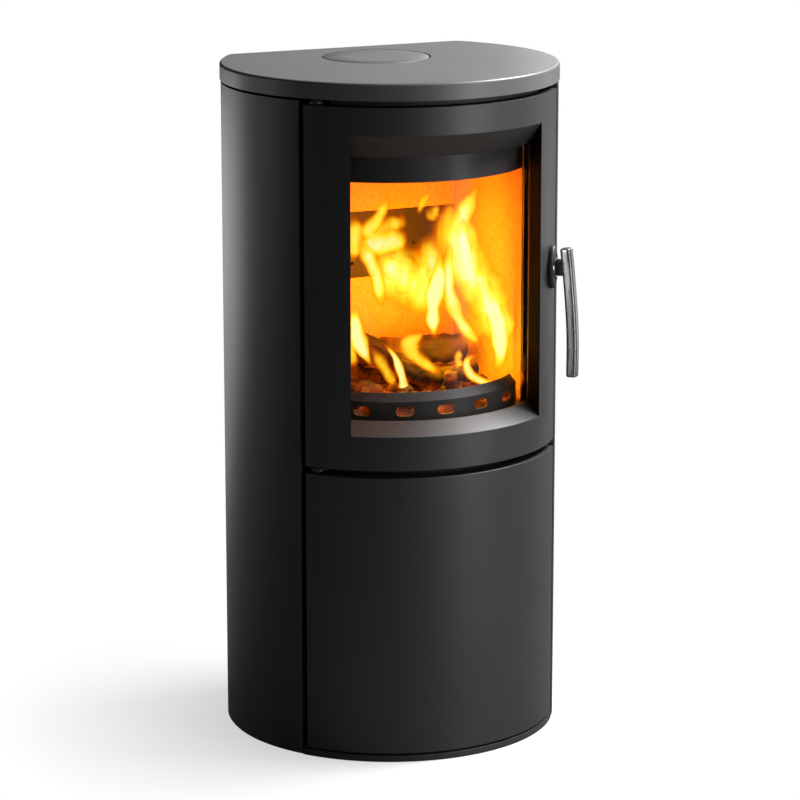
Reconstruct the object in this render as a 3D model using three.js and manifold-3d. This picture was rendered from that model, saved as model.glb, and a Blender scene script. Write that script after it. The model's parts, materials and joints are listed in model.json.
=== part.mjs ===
// Free-standing wood stove with a round steel casing, a curved glass fire door and a log store below.
// Units are millimetres, +Z is up and the door faces -Y. The origin is on the floor, on the axis of the
// casing, whose plan is a circle with a flat back. Angles in plan are measured from the front and are
// positive to the right as seen by someone facing the stove.
import * as THREE from "three";
import { mergeVertices } from "three/addons/utils/BufferGeometryUtils.js";
import Module from "manifold-3d";

const wasm = await Module();
wasm.setup();

const degrees = THREE.MathUtils.degToRad;
const toDegrees = THREE.MathUtils.radToDeg;
const halfAngle = (halfWidth, radius) => toDegrees(Math.asin(halfWidth / radius));

// ---------------------------------------------------------------- sizes
const CLEAR = 0.3; // gap left between pieces that touch
const STEP_DEG = 4; // facet angle of the large curved sheets

// outer casing
const STOVE_HEIGHT = 1000;
const TOP_RADIUS = 250;
const TOP_BACK = TOP_RADIUS * 0.66; // distance from the casing's axis to the flat back of the top plate
const TOP_THICK = 25;
const TOP_SKIN = 5;
const TOP_RIM = 22;
const TOP_CORNER = 18;
const TOP_ARRIS = 4;
const TOP_OVERHANG = 1.5;
const BACK_OVERHANG = 5;
const CASE_RADIUS = TOP_RADIUS - TOP_OVERHANG;
const CASE_BACK = TOP_BACK - BACK_OVERHANG;
const CASE_CORNER = 16;
const SHEET = 2;
const PANEL_EDGE_DEG = 56.05; // front edge of each side panel
const PANEL_LIP = 8.5;
const PANEL_FLANGE = 45;
const PANEL_TOP_GAP = 3.5;
const PANEL_BOTTOM = 2.5;
const BASE_THICK = 10;
const BASE_SETBACK = 0.5;
const BACK_HALF = CASE_RADIUS * 0.692;
const POST_INNER = BACK_HALF - 22;
const VENT_WIDTH = 60;
const VENT_HEIGHT = 8;
const VENT_PITCH = 22;
const VENT_ROWS = 4;
const VENT_RISE = 60; // height of the lowest vent above the lower edge of its panel
const PANEL_HOLE_ROOM = 2; // room round a pipe where it goes through the back
const CASE_INNER = CASE_RADIUS - SHEET;
const BASE_FRONT_RADIUS = CASE_RADIUS - BASE_SETBACK;
const PLATE_UNDER = STOVE_HEIGHT - TOP_THICK;
const PANEL_TOP = PLATE_UNDER - PANEL_TOP_GAP;
const BACK_REAR = CASE_BACK - SHEET - CLEAR;
const BACK_FRONT = BACK_REAR - SHEET;

// doors
const DOOR_HALF_DEG = 53.9;
const DOOR_TOP_GAP = 9.5;
const DOOR_MID_GAP = 11;
const DOOR_BOTTOM_GAP = 3;
const DOOR_TOP = PLATE_UNDER - DOOR_TOP_GAP;
const LOWER_DOOR_TOP = 429;
const LOWER_DOOR_BOTTOM = BASE_THICK + DOOR_BOTTOM_GAP;
const FIRE_DOOR_BOTTOM = LOWER_DOOR_TOP + DOOR_MID_GAP;
const DOOR_SKIN = 7;
const DOOR_RIM_DEPTH = 20.5;
const DOOR_RIM = 5;
const DOOR_INNER = CASE_RADIUS - DOOR_SKIN;
const DOOR_RIM_RADIUS = CASE_RADIUS - DOOR_RIM_DEPTH;
const HINGE_RADIUS = CASE_RADIUS - 12.5; // distance of the hinge axis from the casing's axis
const HINGE_DEG = -50.5;
const PIN_RADIUS = 4;
const PIN_REACH = 15; // how far each pin goes into a door
const EYE_RADIUS = 8.5;
const EYE_LENGTH = 40;
const LOWER_EYE_LENGTH = 20;
const BRACKET_THICK = 4;
const BRACKET_EYE = 10;
const MID_BRACKET_Z = (FIRE_DOOR_BOTTOM + LOWER_DOOR_TOP - BRACKET_THICK) / 2;

// window
const WINDOW_HALF = CASE_RADIUS * 0.6076;
const WINDOW_WALL = 8;
const DOOR_HEAD = 40.5; // width of the door's face above the window
const DOOR_FOOT = 50;
const HEAD_SPLAY = 34; // how far the window's head falls from its front edge to its rear edge
const SILL_SPLAY = 17;
const WINDOW_FRONT_TOP = DOOR_TOP - DOOR_HEAD;
const WINDOW_FRONT_BOTTOM = FIRE_DOOR_BOTTOM + DOOR_FOOT;
const WINDOW_REAR_TOP = WINDOW_FRONT_TOP - HEAD_SPLAY;
const WINDOW_REAR_BOTTOM = WINDOW_FRONT_BOTTOM + SILL_SPLAY;
const BACKING_OUTER = DOOR_RIM_RADIUS - 4; // the curved plate on the rear of the door
const BACKING_INNER = BACKING_OUTER - 3.9;
const BACKING_HALF_DEG = 51.5;
const BACKING_LAP = 23; // how far the backing plate reaches past the window's rear edge
const BACKING_BOTTOM = WINDOW_REAR_BOTTOM - BACKING_LAP;
const BACKING_TOP = WINDOW_REAR_TOP + BACKING_LAP;
const GASKET_THICK = 1.5;
const GLASS_OUTER = BACKING_INNER - GASKET_THICK - 2 * CLEAR;
const GLASS_THICK = 4;
const GLASS_HALF_DEG = 46.8;
const GLASS_LAP = 7; // how far the glass reaches past the window's rear edge
const GLASS_INNER = GLASS_OUTER - GLASS_THICK;
const GLASS_BOTTOM = WINDOW_REAR_BOTTOM - GLASS_LAP;
const GLASS_TOP = WINDOW_REAR_TOP + GLASS_LAP;
const GASKET_INNER = GLASS_OUTER + CLEAR;
const ROPE_WIDTH = 8;
const ROPE_DEG = 3;
const ROPE_DEPTH = 10.8;
const ROPE_MARGIN = 4;
const ROPE_PLAY = 0.5; // room between the shut door's rope and the front frame
const CLAMP_DEGS = [45, 47.1, 48.2];
const CLAMP_INNER = GLASS_INNER - 3.5;
const CLAMP_HEIGHT = 20;
const CLAMP_ZS = [WINDOW_REAR_BOTTOM + 53, WINDOW_REAR_TOP - 51];

// handle and latch
const HANDLE_INSET = 30.75; // from the side of the window to the shaft, straight across
const HANDLE_DEG = halfAngle(WINDOW_HALF + HANDLE_INSET, CASE_RADIUS);
const HANDLE_Z = (WINDOW_REAR_BOTTOM + WINDOW_REAR_TOP) / 2 + 7;
const SHAFT_RADIUS = 6;
const STUB_RADIUS = 12.5;
const STUB_GRIP = 8;
const WASHER_THICK = 1.6;
const ROSETTE_HALF_HEIGHT = 32;
const ROSETTE_HALF_WIDTH = 16;
const ROSETTE_THICK = 7.5;
const STUB_SEAT = CASE_RADIUS + 2 * CLEAR + ROSETTE_THICK;
const GRIP_LINE = [
  [23.5, 29],
  [28.5, -14],
  [34.5, -93],
  [35, -162],
]; // distance from the door's face and height from the shaft of points along the grip
const GRIP_THICK = 16;
const GRIP_WIDTH = 20;
const CAM_HUB_RADIUS = 11;
const CAM_THICK = 5;
const CAM_INNER = DOOR_INNER - 13.5;
const CAM_REACH = CASE_RADIUS * 0.133;
const CAM_HALF_HEIGHT = 6.5;
const CAM_RISE = 19; // how far the cam's tip rises as the handle turns
const CAM_ROOM = 3;
const SHAFT_IN = CAM_INNER - 1;
const SHAFT_OUT = STUB_SEAT + 7.4;
const STRIKE_DEGS = [54.2, 57.2];
const STRIKE_HEIGHT = 34;

// flue and its cover
const COVER_RADIUS = TOP_RADIUS * 0.32;
const COVER_THICK = 4;
const COVER_LEDGE = 5;
const COVER_RUN = 0.6; // radial gap round the loose cover
const COVER_RING = 10;
const FLUE_RADIUS = COVER_RADIUS - 8.5;
const FLUE_WALL = 3;
const FLUE_FLANGE = 8;
const TOP_OUTLET_RADIUS = FLUE_RADIUS - 3.5;
const BLANK_LAP = 5.5;
const BLANK_BOSS_RADIUS = 12;
const BLANK_BOSS_HEIGHT = 10;
const SPIGOT_END = TOP_BACK - 1;

// firebox
const FRAME_OUTER = BACKING_INNER - CLEAR - ROPE_DEPTH - ROPE_PLAY;
const FRAME_THICK = 4;
const FRAME_INNER = FRAME_OUTER - FRAME_THICK;
const FRAME_HALF_DEG = 58.1;
const FRAME_TOP = DOOR_TOP + 0.7;
const APERTURE_HALF = WINDOW_HALF - 1;
const APERTURE_BOTTOM = GLASS_BOTTOM;
const APERTURE_TOP = GLASS_TOP - 1;
const STORE_BOTTOM = BASE_THICK + 20;
const STORE_TOP = LOWER_DOOR_TOP - 29;
const RAIL_DEGS = [-45.5, 41];
const RAIL_THICK = 2;
const TOP_BRACKET_Z = FRAME_TOP + CLEAR;
const SHELL_HALF = FRAME_INNER * 0.867;
const SHELL_WALL = 4;
const REAR_SPACE = 38; // from the firebox to the back of the casing
const TOP_SPACE = 30; // from the firebox to the underside of the top plate
const SHELL_BACK = CASE_BACK - REAR_SPACE;
const SHELL_FLOOR = FIRE_DOOR_BOTTOM - 15;
const SHELL_TOP = PLATE_UNDER - TOP_SPACE;
const SHELL_INNER = SHELL_HALF - SHELL_WALL;
const SHELL_INNER_BACK = SHELL_BACK - SHELL_WALL;
const SHELL_INNER_FLOOR = SHELL_FLOOR + SHELL_WALL;
const SHELL_INNER_TOP = SHELL_TOP - SHELL_WALL;
const FLUE_Y = SHELL_INNER_BACK - TOP_OUTLET_RADIUS - 2;
const FLUE_REAR_Z = SHELL_INNER_TOP - FLUE_RADIUS - 9.5;
const SIDE_BRICK = 23;
const BACK_BRICK = 29.7;
const BRICK_FRONT = FRAME_INNER - 2 * CLEAR;
const BRICK_OUTER = SHELL_INNER - CLEAR;
const BRICK_HALF = BRICK_OUTER - SIDE_BRICK; // distance from the middle to the inner face of each side brick
const BRICK_REAR = SHELL_INNER_BACK - CLEAR;
const BACK_BRICK_Y = BRICK_REAR - BACK_BRICK;
const PAN_CHAMBER = 38; // height of the space for the ash pan
const HEARTH_Z = SHELL_INNER_FLOOR + PAN_CHAMBER;
const HEARTH_THICK = 3;
const HEARTH_TOP = HEARTH_Z + HEARTH_THICK;
const HEARTH_LAP = 10; // how far the hearth plate reaches under the grate
const FLOOR_BRICK = 24.7;
const FLOOR_TOP = HEARTH_TOP + CLEAR + FLOOR_BRICK;
const GRATE_HALF = BRICK_HALF - 44.6;
const GRATE_Y1 = BACK_BRICK_Y - 43.3;
const GRATE_DEPTH = 139.4;
const GRATE_Y0 = GRATE_Y1 - GRATE_DEPTH;
const GRATE_THICK = FLOOR_BRICK - 3;
const GRATE_BAR = 10;
const GRATE_SLOT = 10;
const GRATE_RIM = 14;
const PAN_HALF = GRATE_HALF - 7.4;
const PAN_INSET = 4.7;
const PAN_Y0 = GRATE_Y0 + PAN_INSET;
const PAN_Y1 = GRATE_Y1 - PAN_INSET;
const PAN_HEAD_ROOM = 10;
const PAN_HEIGHT = HEARTH_Z - SHELL_INNER_FLOOR - PAN_HEAD_ROOM;
const PAN_WALL = 2;
const PAN_LIP = 14;
const PAN_LIP_HALF = 30;
const SMOKE_SPACE = 95; // from the front of the baffle to the top of the firebox
const BAFFLE_FRONT_Z = SHELL_TOP - SMOKE_SPACE;
const BAFFLE_FALL = 50;
const BAFFLE_REAR_Z = BAFFLE_FRONT_Z - BAFFLE_FALL; // its underside at the back brick's rear face
const BAFFLE_DEPTH = 193;
const BAFFLE_REAR_Y = BACK_BRICK_Y + 10;
const BAFFLE_FRONT_Y = BAFFLE_REAR_Y - BAFFLE_DEPTH;
const BAFFLE_THICK = 20;
const BAFFLE_SLOPE = (BAFFLE_FRONT_Z - BAFFLE_REAR_Z) / (BRICK_REAR - BAFFLE_FRONT_Y);
const AIR_PLATE_TOP = BAFFLE_REAR_Z - 40;
const AIR_PLATE_HEIGHT = 100;
const AIR_PLATE_BOTTOM = AIR_PLATE_TOP - AIR_PLATE_HEIGHT;
const AIR_PLATE_THICK = 3;
const AIR_HOLE_RADIUS = 2.5;
const AIR_HOLE_PITCH = BRICK_HALF * 0.1507;
const AIR_HOLE_ROWS = [
  { drop: 54, first: -5.5, last: 5.5 },
  { drop: 78, first: -5, last: 5 },
]; // distance below the top of the air plate, and places counted from the middle
const WASH_BOTTOM = APERTURE_TOP - 45.5;
const WASH_INNER = FRAME_INNER - 3.5;
const WASH_HALF_DEG = halfAngle(BRICK_HALF - 1, FRAME_INNER);
const RETAINER_RADIUS = FRAME_INNER - 6.5;
const RETAINER_THICK = 3;
const RETAINER_HALF_DEG = halfAngle(BRICK_HALF - 6.5, RETAINER_RADIUS);
const RETAINER_HEIGHT = 35;
const RETAINER_BEND = FLOOR_TOP + RETAINER_HEIGHT;
const RETAINER_LIP_RISE = 12;
const RETAINER_LIP_BACK = 10;
const SLOT_WIDTH = 28;
const SLOT_HEIGHT = 14;
const SLOT_DROP = 14; // distance of the slots' middle below the retainer's bend
const SLOT_DEGS = [-36, -18, 0, 18, 36];

// log store and air control
const LINER_HALF = SHELL_HALF - 7.3;
const LINER_SHEET = 1.5;
const LINER_FRONT = 3.6 - Math.sqrt(FRAME_INNER ** 2 - LINER_HALF ** 2);
const LINER_BACK = SHELL_BACK - 2;
const SHELF_THICK = 4;
const SHELF_TOP = SHELL_FLOOR - CLEAR;
const SHELF_BOTTOM = SHELF_TOP - SHELF_THICK;
const AIR_BOX_HALF = SHELL_HALF - 97.3;
const AIR_BOX_Y0 = LINER_FRONT;
const AIR_BOX_Y1 = LINER_BACK - 8;
const AIR_BOX_HEIGHT = 82;
const AIR_BOX_WALL = 2;
const AIR_BOX_TOP = SHELF_BOTTOM - CLEAR;
const AIR_BOX_BOTTOM = AIR_BOX_TOP - AIR_BOX_HEIGHT;
const AIR_PIPE_RADIUS = AIR_BOX_HEIGHT / 2 - 1;
const AIR_PIPE_WALL = 2;
const AIR_PIPE_Z = AIR_BOX_BOTTOM + AIR_BOX_HEIGHT / 2;
const AIR_SLOT_HALF = AIR_BOX_HALF - 22;
const AIR_SLOT_Y0 = AIR_BOX_Y1 - 46;
const AIR_SLOT_Y1 = AIR_BOX_Y1 - 8;
const DAMPER_LAP = 3;
const DAMPER_THICK = 3;
const DAMPER_TOP = AIR_BOX_TOP - 2 * CLEAR;
const ROD_RADIUS = 4;
const ROD_DROP = 38; // distance of the rod below the top of the air box
const ROD_Z = AIR_BOX_TOP - ROD_DROP;
const ROD_FRONT = 26.5 - FRAME_INNER;
const ROD_REAR = AIR_SLOT_Y1 - 18;
const LUG_THICK = 6;
const LUG_WALL = 5;
const KNOB_RADIUS = 13;
const KNOB_LENGTH = 22;
const KNOB_BORE = 8;
const MAGNET_DEGS = [50.4, 53.4];
const MAGNET_Z = (LOWER_DOOR_TOP + LOWER_DOOR_BOTTOM) / 2 + 20;
const MAGNET_HEIGHT = 40;
const MAGNET_OUTER = DOOR_RIM_RADIUS - 2.5;
const STRIKE_PLATE = 1.9;

const polar = (radius, deg) =>
  new THREE.Vector2(radius * Math.sin(degrees(deg)), -radius * Math.cos(degrees(deg)));
const HINGE = polar(HINGE_RADIUS, HINGE_DEG);

// ---------------------------------------------------------------- solids
// A closed geometry as a solid that can be cut and joined.
function solid(geometry) {
  const bare = geometry.clone();
  bare.deleteAttribute("normal");
  bare.deleteAttribute("uv");
  const merged = mergeVertices(bare, 1e-4);
  return new wasm.Manifold(
    new wasm.Mesh({
      numProp: 3,
      vertProperties: new Float32Array(merged.attributes.position.array),
      triVerts: new Uint32Array(merged.index.array),
    }),
  );
}

function geometryOf(body) {
  const mesh = body.getMesh();
  const geometry = new THREE.BufferGeometry();
  geometry.setAttribute("position", new THREE.BufferAttribute(new Float32Array(mesh.vertProperties), 3));
  geometry.setIndex(new THREE.BufferAttribute(new Uint32Array(mesh.triVerts), 1));
  geometry.computeVertexNormals();
  return geometry;
}

const cut = (body, ...tools) => tools.reduce((left, tool) => left.subtract(tool), body);
const join = (body, ...others) => others.reduce((made, other) => made.add(other), body);

// The outline extruded from z0 to z1.
function prism(outline, z0, z1) {
  const shape = new THREE.Shape(outline);
  const geometry = new THREE.ExtrudeGeometry(shape, { depth: z1 - z0, bevelEnabled: false });
  return solid(geometry.translate(0, 0, z0));
}

const rectangle = (x0, x1, y0, y1) => [
  new THREE.Vector2(x0, y0),
  new THREE.Vector2(x1, y0),
  new THREE.Vector2(x1, y1),
  new THREE.Vector2(x0, y1),
];
const block = (x0, x1, y0, y1, z0, z1) => prism(rectangle(x0, x1, y0, y1), z0, z1);
const points = (pairs) => pairs.map(([x, y]) => new THREE.Vector2(x, y));

function arcPoints(radius, deg0, deg1) {
  const count = Math.max(1, Math.ceil(Math.abs(deg1 - deg0) / STEP_DEG));
  return Array.from({ length: count + 1 }, (_, i) => polar(radius, deg0 + ((deg1 - deg0) * i) / count));
}

// Part of a ring round the casing's axis, from inner to outer radius and between two angles.
const sector = (inner, outer, deg0, deg1, z0, z1) =>
  prism([...arcPoints(outer, deg0, deg1), ...arcPoints(inner, deg1, deg0)], z0, z1);

function circle(radius, x = 0, y = 0, sides = 24) {
  return Array.from({ length: sides }, (_, i) => {
    const turn = (2 * Math.PI * (i + 0.5)) / sides;
    return new THREE.Vector2(x + radius * Math.cos(turn), y + radius * Math.sin(turn));
  });
}
const disc = (radius, x, y, z0, z1, sides = 24) => prism(circle(radius, x, y, sides), z0, z1);

// A closed profile of [radius, height] pairs turned about the vertical axis.
const turned = (profile, sides) =>
  solid(new THREE.LatheGeometry(points([...profile, profile[0]]), sides).rotateX(Math.PI / 2));

// Lays a body made along +Z down so that it runs along +Y from y0, centred on x, z.
const alongY = (body, x, y0, z) => body.rotate([-90, 0, 0]).translate([x, y0, z]);

// Lays a body made along +Z down so that it points outwards along the radius through the handle.
// Its own +X then runs along the door to the right and its own +Y points up.
const onHandle = (body) => body.rotate([90, 0, 0]).rotate([0, 0, HANDLE_DEG]).translate([0, 0, HANDLE_Z]);

// Stands up an outline drawn in y and z, from x0 to x1.
const acrossX = (outline, x0, x1) => prism(outline, 0, x1 - x0).rotate([90, 0, 90]).translate([x0, 0, 0]);

// The convex outline round a set of plan points.
function hullOf(set) {
  const sorted = [...set].sort((a, b) => a.x - b.x || a.y - b.y);
  const turn = (a, b, c) => (b.x - a.x) * (c.y - a.y) - (b.y - a.y) * (c.x - a.x);
  const chain = (list) =>
    list.reduce((hull, p) => {
      while (hull.length > 1 && turn(hull.at(-2), hull.at(-1), p) <= 0) hull.pop();
      return [...hull, p];
    }, []);
  return [...chain(sorted).slice(0, -1), ...chain(sorted.reverse()).slice(0, -1)];
}

// One side of the casing's plan, from an angle on the right round to the start of the flat back.
function casingSide(radius, back, corner, fromDeg) {
  const centreX = Math.sqrt((radius - corner) ** 2 - (back - corner) ** 2);
  const meetDeg = 90 + toDegrees(Math.atan2(back - corner, centreX));
  const fillet = [0.25, 0.5, 0.75, 1].map((share) => {
    const turn = degrees(meetDeg - 90) * (1 - share) + (Math.PI / 2) * share;
    return new THREE.Vector2(centreX + corner * Math.cos(turn), back - corner + corner * Math.sin(turn));
  });
  return [...arcPoints(radius, fromDeg, meetDeg), ...fillet];
}
const mirrored = (outline) => outline.map((p) => new THREE.Vector2(-p.x, p.y)).reverse();
const casingPlan = (radius, back, corner) => {
  const side = casingSide(radius, back, corner, 0);
  return [...side, ...mirrored(side).slice(0, -1)];
};

// A plan with a round front about the casing's axis, straight sides and a straight back.
function chamberPlan(half, back, frontRadius) {
  const deg = halfAngle(half, frontRadius);
  return [...arcPoints(frontRadius, -deg, deg), new THREE.Vector2(half, back), new THREE.Vector2(-half, back)];
}

// ---------------------------------------------------------------- materials and the tree
const finish = (color, roughness, metalness) => new THREE.MeshStandardMaterial({ color, roughness, metalness });
const casePaint = finish(0x2c2d2f, 0.5, 0.3);
const innerPaint = finish(0x1c1c1d, 0.7, 0.2);
const castIron = finish(0x262626, 0.7, 0.4);
const handlePaint = finish(0x6f7073, 0.35, 0.8);
const steel = finish(0x9a9a9c, 0.35, 0.9);
const firebrick = finish(0xb08a56, 0.95, 0);
const rope = finish(0x3a3a38, 0.95, 0);
const ceramicGlass = new THREE.MeshStandardMaterial({
  color: 0x2a1a0c,
  roughness: 0.05,
  metalness: 0,
  transparent: true,
  opacity: 0.35,
});

const stove = new THREE.Group();
stove.name = "wood_stove";
const place = (name, body, material) => {
  const mesh = new THREE.Mesh(geometryOf(body), material.clone());
  mesh.name = name;
  stove.add(mesh);
};
const SIDES = [
  { word: "left", sign: -1 },
  { word: "right", sign: 1 },
];
const span = (sign, near, far) => (sign < 0 ? [-far, -near] : [near, far]);

// ---------------------------------------------------------------- base and casing
function basePlate() {
  const plan = casingPlan(CASE_INNER - CLEAR, CASE_BACK - SHEET - CLEAR, CASE_CORNER - SHEET);
  const rimDeg = PANEL_EDGE_DEG - 0.6;
  const rim = sector(FRAME_INNER, BASE_FRONT_RADIUS, -rimDeg, rimDeg, 0, BASE_THICK);
  const pinHole = disc(PIN_RADIUS + CLEAR, HINGE.x, HINGE.y, -1, BASE_THICK + 1, 16);
  return cut(join(prism(plan, 0, BASE_THICK), rim), pinHole);
}

// A side panel with a lip turned in at its front edge and a flange turned in along the back.
function sidePanel(sign) {
  const outer = casingSide(CASE_RADIUS, CASE_BACK, CASE_CORNER, PANEL_EDGE_DEG);
  const inner = casingSide(CASE_INNER, CASE_BACK - SHEET, CASE_CORNER - SHEET, PANEL_EDGE_DEG);
  const flangeEnd = outer.at(-1).x - PANEL_FLANGE;
  const skin = [
    ...outer,
    new THREE.Vector2(flangeEnd, CASE_BACK),
    new THREE.Vector2(flangeEnd, CASE_BACK - SHEET),
    ...inner.reverse(),
  ];
  const lipDeg = toDegrees(SHEET / CASE_INNER);
  const lip = [
    polar(CASE_INNER - PANEL_LIP, PANEL_EDGE_DEG),
    polar(CASE_INNER + 1, PANEL_EDGE_DEG),
    polar(CASE_INNER + 1, PANEL_EDGE_DEG + lipDeg),
    polar(CASE_INNER - PANEL_LIP, PANEL_EDGE_DEG + lipDeg),
  ];
  const plan = (outline) => (sign < 0 ? mirrored(outline) : outline);
  return join(prism(plan(skin), PANEL_BOTTOM, PANEL_TOP), prism(plan(lip), BASE_THICK + CLEAR, PANEL_TOP));
}

// One of the two sheets that close the back, with a round hole and a field of vents near its lower edge.
function backPanel(z0, z1, holeRadius, holeZ) {
  const sheet = block(-BACK_HALF, BACK_HALF, BACK_FRONT, BACK_REAR, z0, z1);
  const hole = alongY(disc(holeRadius, 0, 0, 0, SHEET + 2, 36), 0, BACK_FRONT - 1, holeZ);
  const vents = Array.from({ length: VENT_ROWS * 3 }, (_, i) => {
    const x = ((i % 3) - 1) * VENT_WIDTH * 1.3;
    const z = z0 + VENT_RISE + Math.floor(i / 3) * VENT_PITCH;
    return block(x - VENT_WIDTH / 2, x + VENT_WIDTH / 2, BACK_FRONT - 1, BACK_REAR + 1, z, z + VENT_HEIGHT);
  });
  return cut(sheet, ...vents, hole);
}

// A channel that stands between the firebox and the rear panel and carries the top plate.
function rearPost(sign) {
  const y0 = SHELL_BACK + CLEAR;
  const y1 = BACK_FRONT - CLEAR;
  const outline = points([
    [POST_INNER, y0],
    [BACK_HALF, y0],
    [BACK_HALF, y0 + SHEET],
    [POST_INNER + SHEET, y0 + SHEET],
    [POST_INNER + SHEET, y1 - SHEET],
    [BACK_HALF, y1 - SHEET],
    [BACK_HALF, y1],
    [POST_INNER, y1],
  ]);
  return prism(sign < 0 ? mirrored(outline) : outline, BASE_THICK + CLEAR, PLATE_UNDER - CLEAR);
}

function topPlate() {
  const shape = new THREE.Shape(casingPlan(TOP_RADIUS, TOP_BACK, TOP_CORNER));
  const blank = solid(
    new THREE.ExtrudeGeometry(shape, {
      depth: TOP_THICK,
      bevelThickness: TOP_ARRIS,
      bevelSize: TOP_ARRIS,
      bevelOffset: -TOP_ARRIS,
      bevelSegments: 1,
    }).translate(0, 0, PLATE_UNDER - TOP_ARRIS),
  );
  const below = block(-TOP_RADIUS - 1, TOP_RADIUS + 1, -TOP_RADIUS - 1, TOP_BACK + 1, 0, PLATE_UNDER);
  const pocket = prism(
    casingPlan(TOP_RADIUS - TOP_RIM, TOP_BACK - TOP_RIM, TOP_CORNER),
    PLATE_UNDER - 1,
    STOVE_HEIGHT - TOP_SKIN,
  );
  const seat = STOVE_HEIGHT - COVER_THICK - CLEAR;
  const ring = disc(COVER_RADIUS + COVER_RING, 0, FLUE_Y, seat - COVER_LEDGE, STOVE_HEIGHT - TOP_SKIN + 1, 48);
  const recess = disc(COVER_RADIUS + COVER_RUN, 0, FLUE_Y, seat, STOVE_HEIGHT + 1, 48);
  const bore = disc(COVER_RADIUS - COVER_LEDGE, 0, FLUE_Y, PLATE_UNDER, STOVE_HEIGHT, 48);
  return cut(join(cut(blank, below, pocket), ring), recess, bore);
}

const flueCover = () => disc(COVER_RADIUS, 0, FLUE_Y, STOVE_HEIGHT - COVER_THICK, STOVE_HEIGHT, 48);

// The curved angle on the front frame that carries the top plate's front edge.
function topRail() {
  const z0 = FRAME_TOP + CLEAR;
  return join(
    sector(FRAME_INNER, HINGE_RADIUS, ...RAIL_DEGS, z0, z0 + RAIL_THICK),
    sector(HINGE_RADIUS - RAIL_THICK, HINGE_RADIUS, ...RAIL_DEGS, z0, PLATE_UNDER - CLEAR),
  );
}

place("base_plate", basePlate(), casePaint);
SIDES.forEach(({ word, sign }) => place(`side_panel_${word}`, sidePanel(sign), casePaint));
place(
  "back_panel_lower",
  backPanel(BASE_THICK + CLEAR, FIRE_DOOR_BOTTOM - CLEAR, AIR_PIPE_RADIUS + PANEL_HOLE_ROOM, AIR_PIPE_Z),
  casePaint,
);
place(
  "back_panel_upper",
  backPanel(FIRE_DOOR_BOTTOM, PLATE_UNDER - CLEAR, FLUE_RADIUS + FLUE_WALL + PANEL_HOLE_ROOM, FLUE_REAR_Z),
  casePaint,
);
SIDES.forEach(({ word, sign }) => place(`rear_post_${word}`, rearPost(sign), innerPaint));
place("top_plate", topPlate(), casePaint);
place("flue_cover", flueCover(), casePaint);
place("top_rail", topRail(), innerPaint);

// ---------------------------------------------------------------- log store and air supply
// The sheet that lines the log store: two sides and a back.
function logStoreLiner() {
  const inner = LINER_HALF - LINER_SHEET;
  const outline = points([
    [LINER_HALF, LINER_FRONT],
    [LINER_HALF, LINER_BACK],
    [-LINER_HALF, LINER_BACK],
    [-LINER_HALF, LINER_FRONT],
    [-inner, LINER_FRONT],
    [-inner, LINER_BACK - LINER_SHEET],
    [inner, LINER_BACK - LINER_SHEET],
    [inner, LINER_FRONT],
  ]);
  const pipeHole = alongY(
    disc(AIR_PIPE_RADIUS + 2 * CLEAR, 0, 0, 0, LINER_SHEET + 2),
    0,
    LINER_BACK - LINER_SHEET - 1,
    AIR_PIPE_Z,
  );
  return cut(prism(outline, BASE_THICK + CLEAR, AIR_BOX_TOP), pipeHole);
}

const airSlot = (z0, z1) => block(-AIR_SLOT_HALF, AIR_SLOT_HALF, AIR_SLOT_Y0, AIR_SLOT_Y1, z0, z1);

// The shelf between the log store and the firebox.
const shelf = () =>
  cut(
    prism(chamberPlan(SHELL_HALF, SHELL_BACK, FRAME_INNER - CLEAR), SHELF_BOTTOM, SHELF_TOP),
    airSlot(SHELF_BOTTOM - 1, SHELF_TOP + 1),
  );

// The open-topped air box under the shelf.
function airBox() {
  const w = AIR_BOX_WALL;
  const box = block(-AIR_BOX_HALF, AIR_BOX_HALF, AIR_BOX_Y0, AIR_BOX_Y1, AIR_BOX_BOTTOM, AIR_BOX_TOP);
  const inside = block(
    -AIR_BOX_HALF + w,
    AIR_BOX_HALF - w,
    AIR_BOX_Y0 + w,
    AIR_BOX_Y1 - w,
    AIR_BOX_BOTTOM + w,
    AIR_BOX_TOP + 1,
  );
  const pipeHole = alongY(
    disc(AIR_PIPE_RADIUS - AIR_PIPE_WALL, 0, 0, 0, w + 2),
    0,
    AIR_BOX_Y1 - w - 1,
    AIR_PIPE_Z,
  );
  const rodHole = alongY(disc(ROD_RADIUS + CLEAR, 0, 0, 0, w + 2, 12), 0, AIR_BOX_Y0 - 1, ROD_Z);
  return cut(box, inside, pipeHole, rodHole);
}

// The round pipe from the rear wall of the air box to the outside.
function airPipe() {
  const start = AIR_BOX_Y1 + CLEAR;
  const length = SPIGOT_END - start;
  const inner = AIR_PIPE_RADIUS - AIR_PIPE_WALL;
  const profile = [
    [inner, 0],
    [AIR_PIPE_RADIUS, 0],
    [AIR_PIPE_RADIUS, length],
    [inner, length],
  ];
  return alongY(turned(profile, 24), 0, start, AIR_PIPE_Z);
}

const airRod = () => alongY(disc(ROD_RADIUS, 0, 0, 0, ROD_REAR - ROD_FRONT, 12), 0, ROD_FRONT, ROD_Z);

function airKnob() {
  const bore = ROD_RADIUS + CLEAR;
  const profile = [
    [bore, 0],
    [KNOB_RADIUS * 0.7, 0],
    [KNOB_RADIUS, 5],
    [KNOB_RADIUS, KNOB_LENGTH - 5],
    [KNOB_RADIUS * 0.7, KNOB_LENGTH],
    [0, KNOB_LENGTH],
    [0, KNOB_BORE],
    [bore, KNOB_BORE],
  ];
  return turned(profile, 20)
    .rotate([90, 0, 0])
    .translate([0, ROD_FRONT + KNOB_BORE - CLEAR, ROD_Z]);
}

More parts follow.
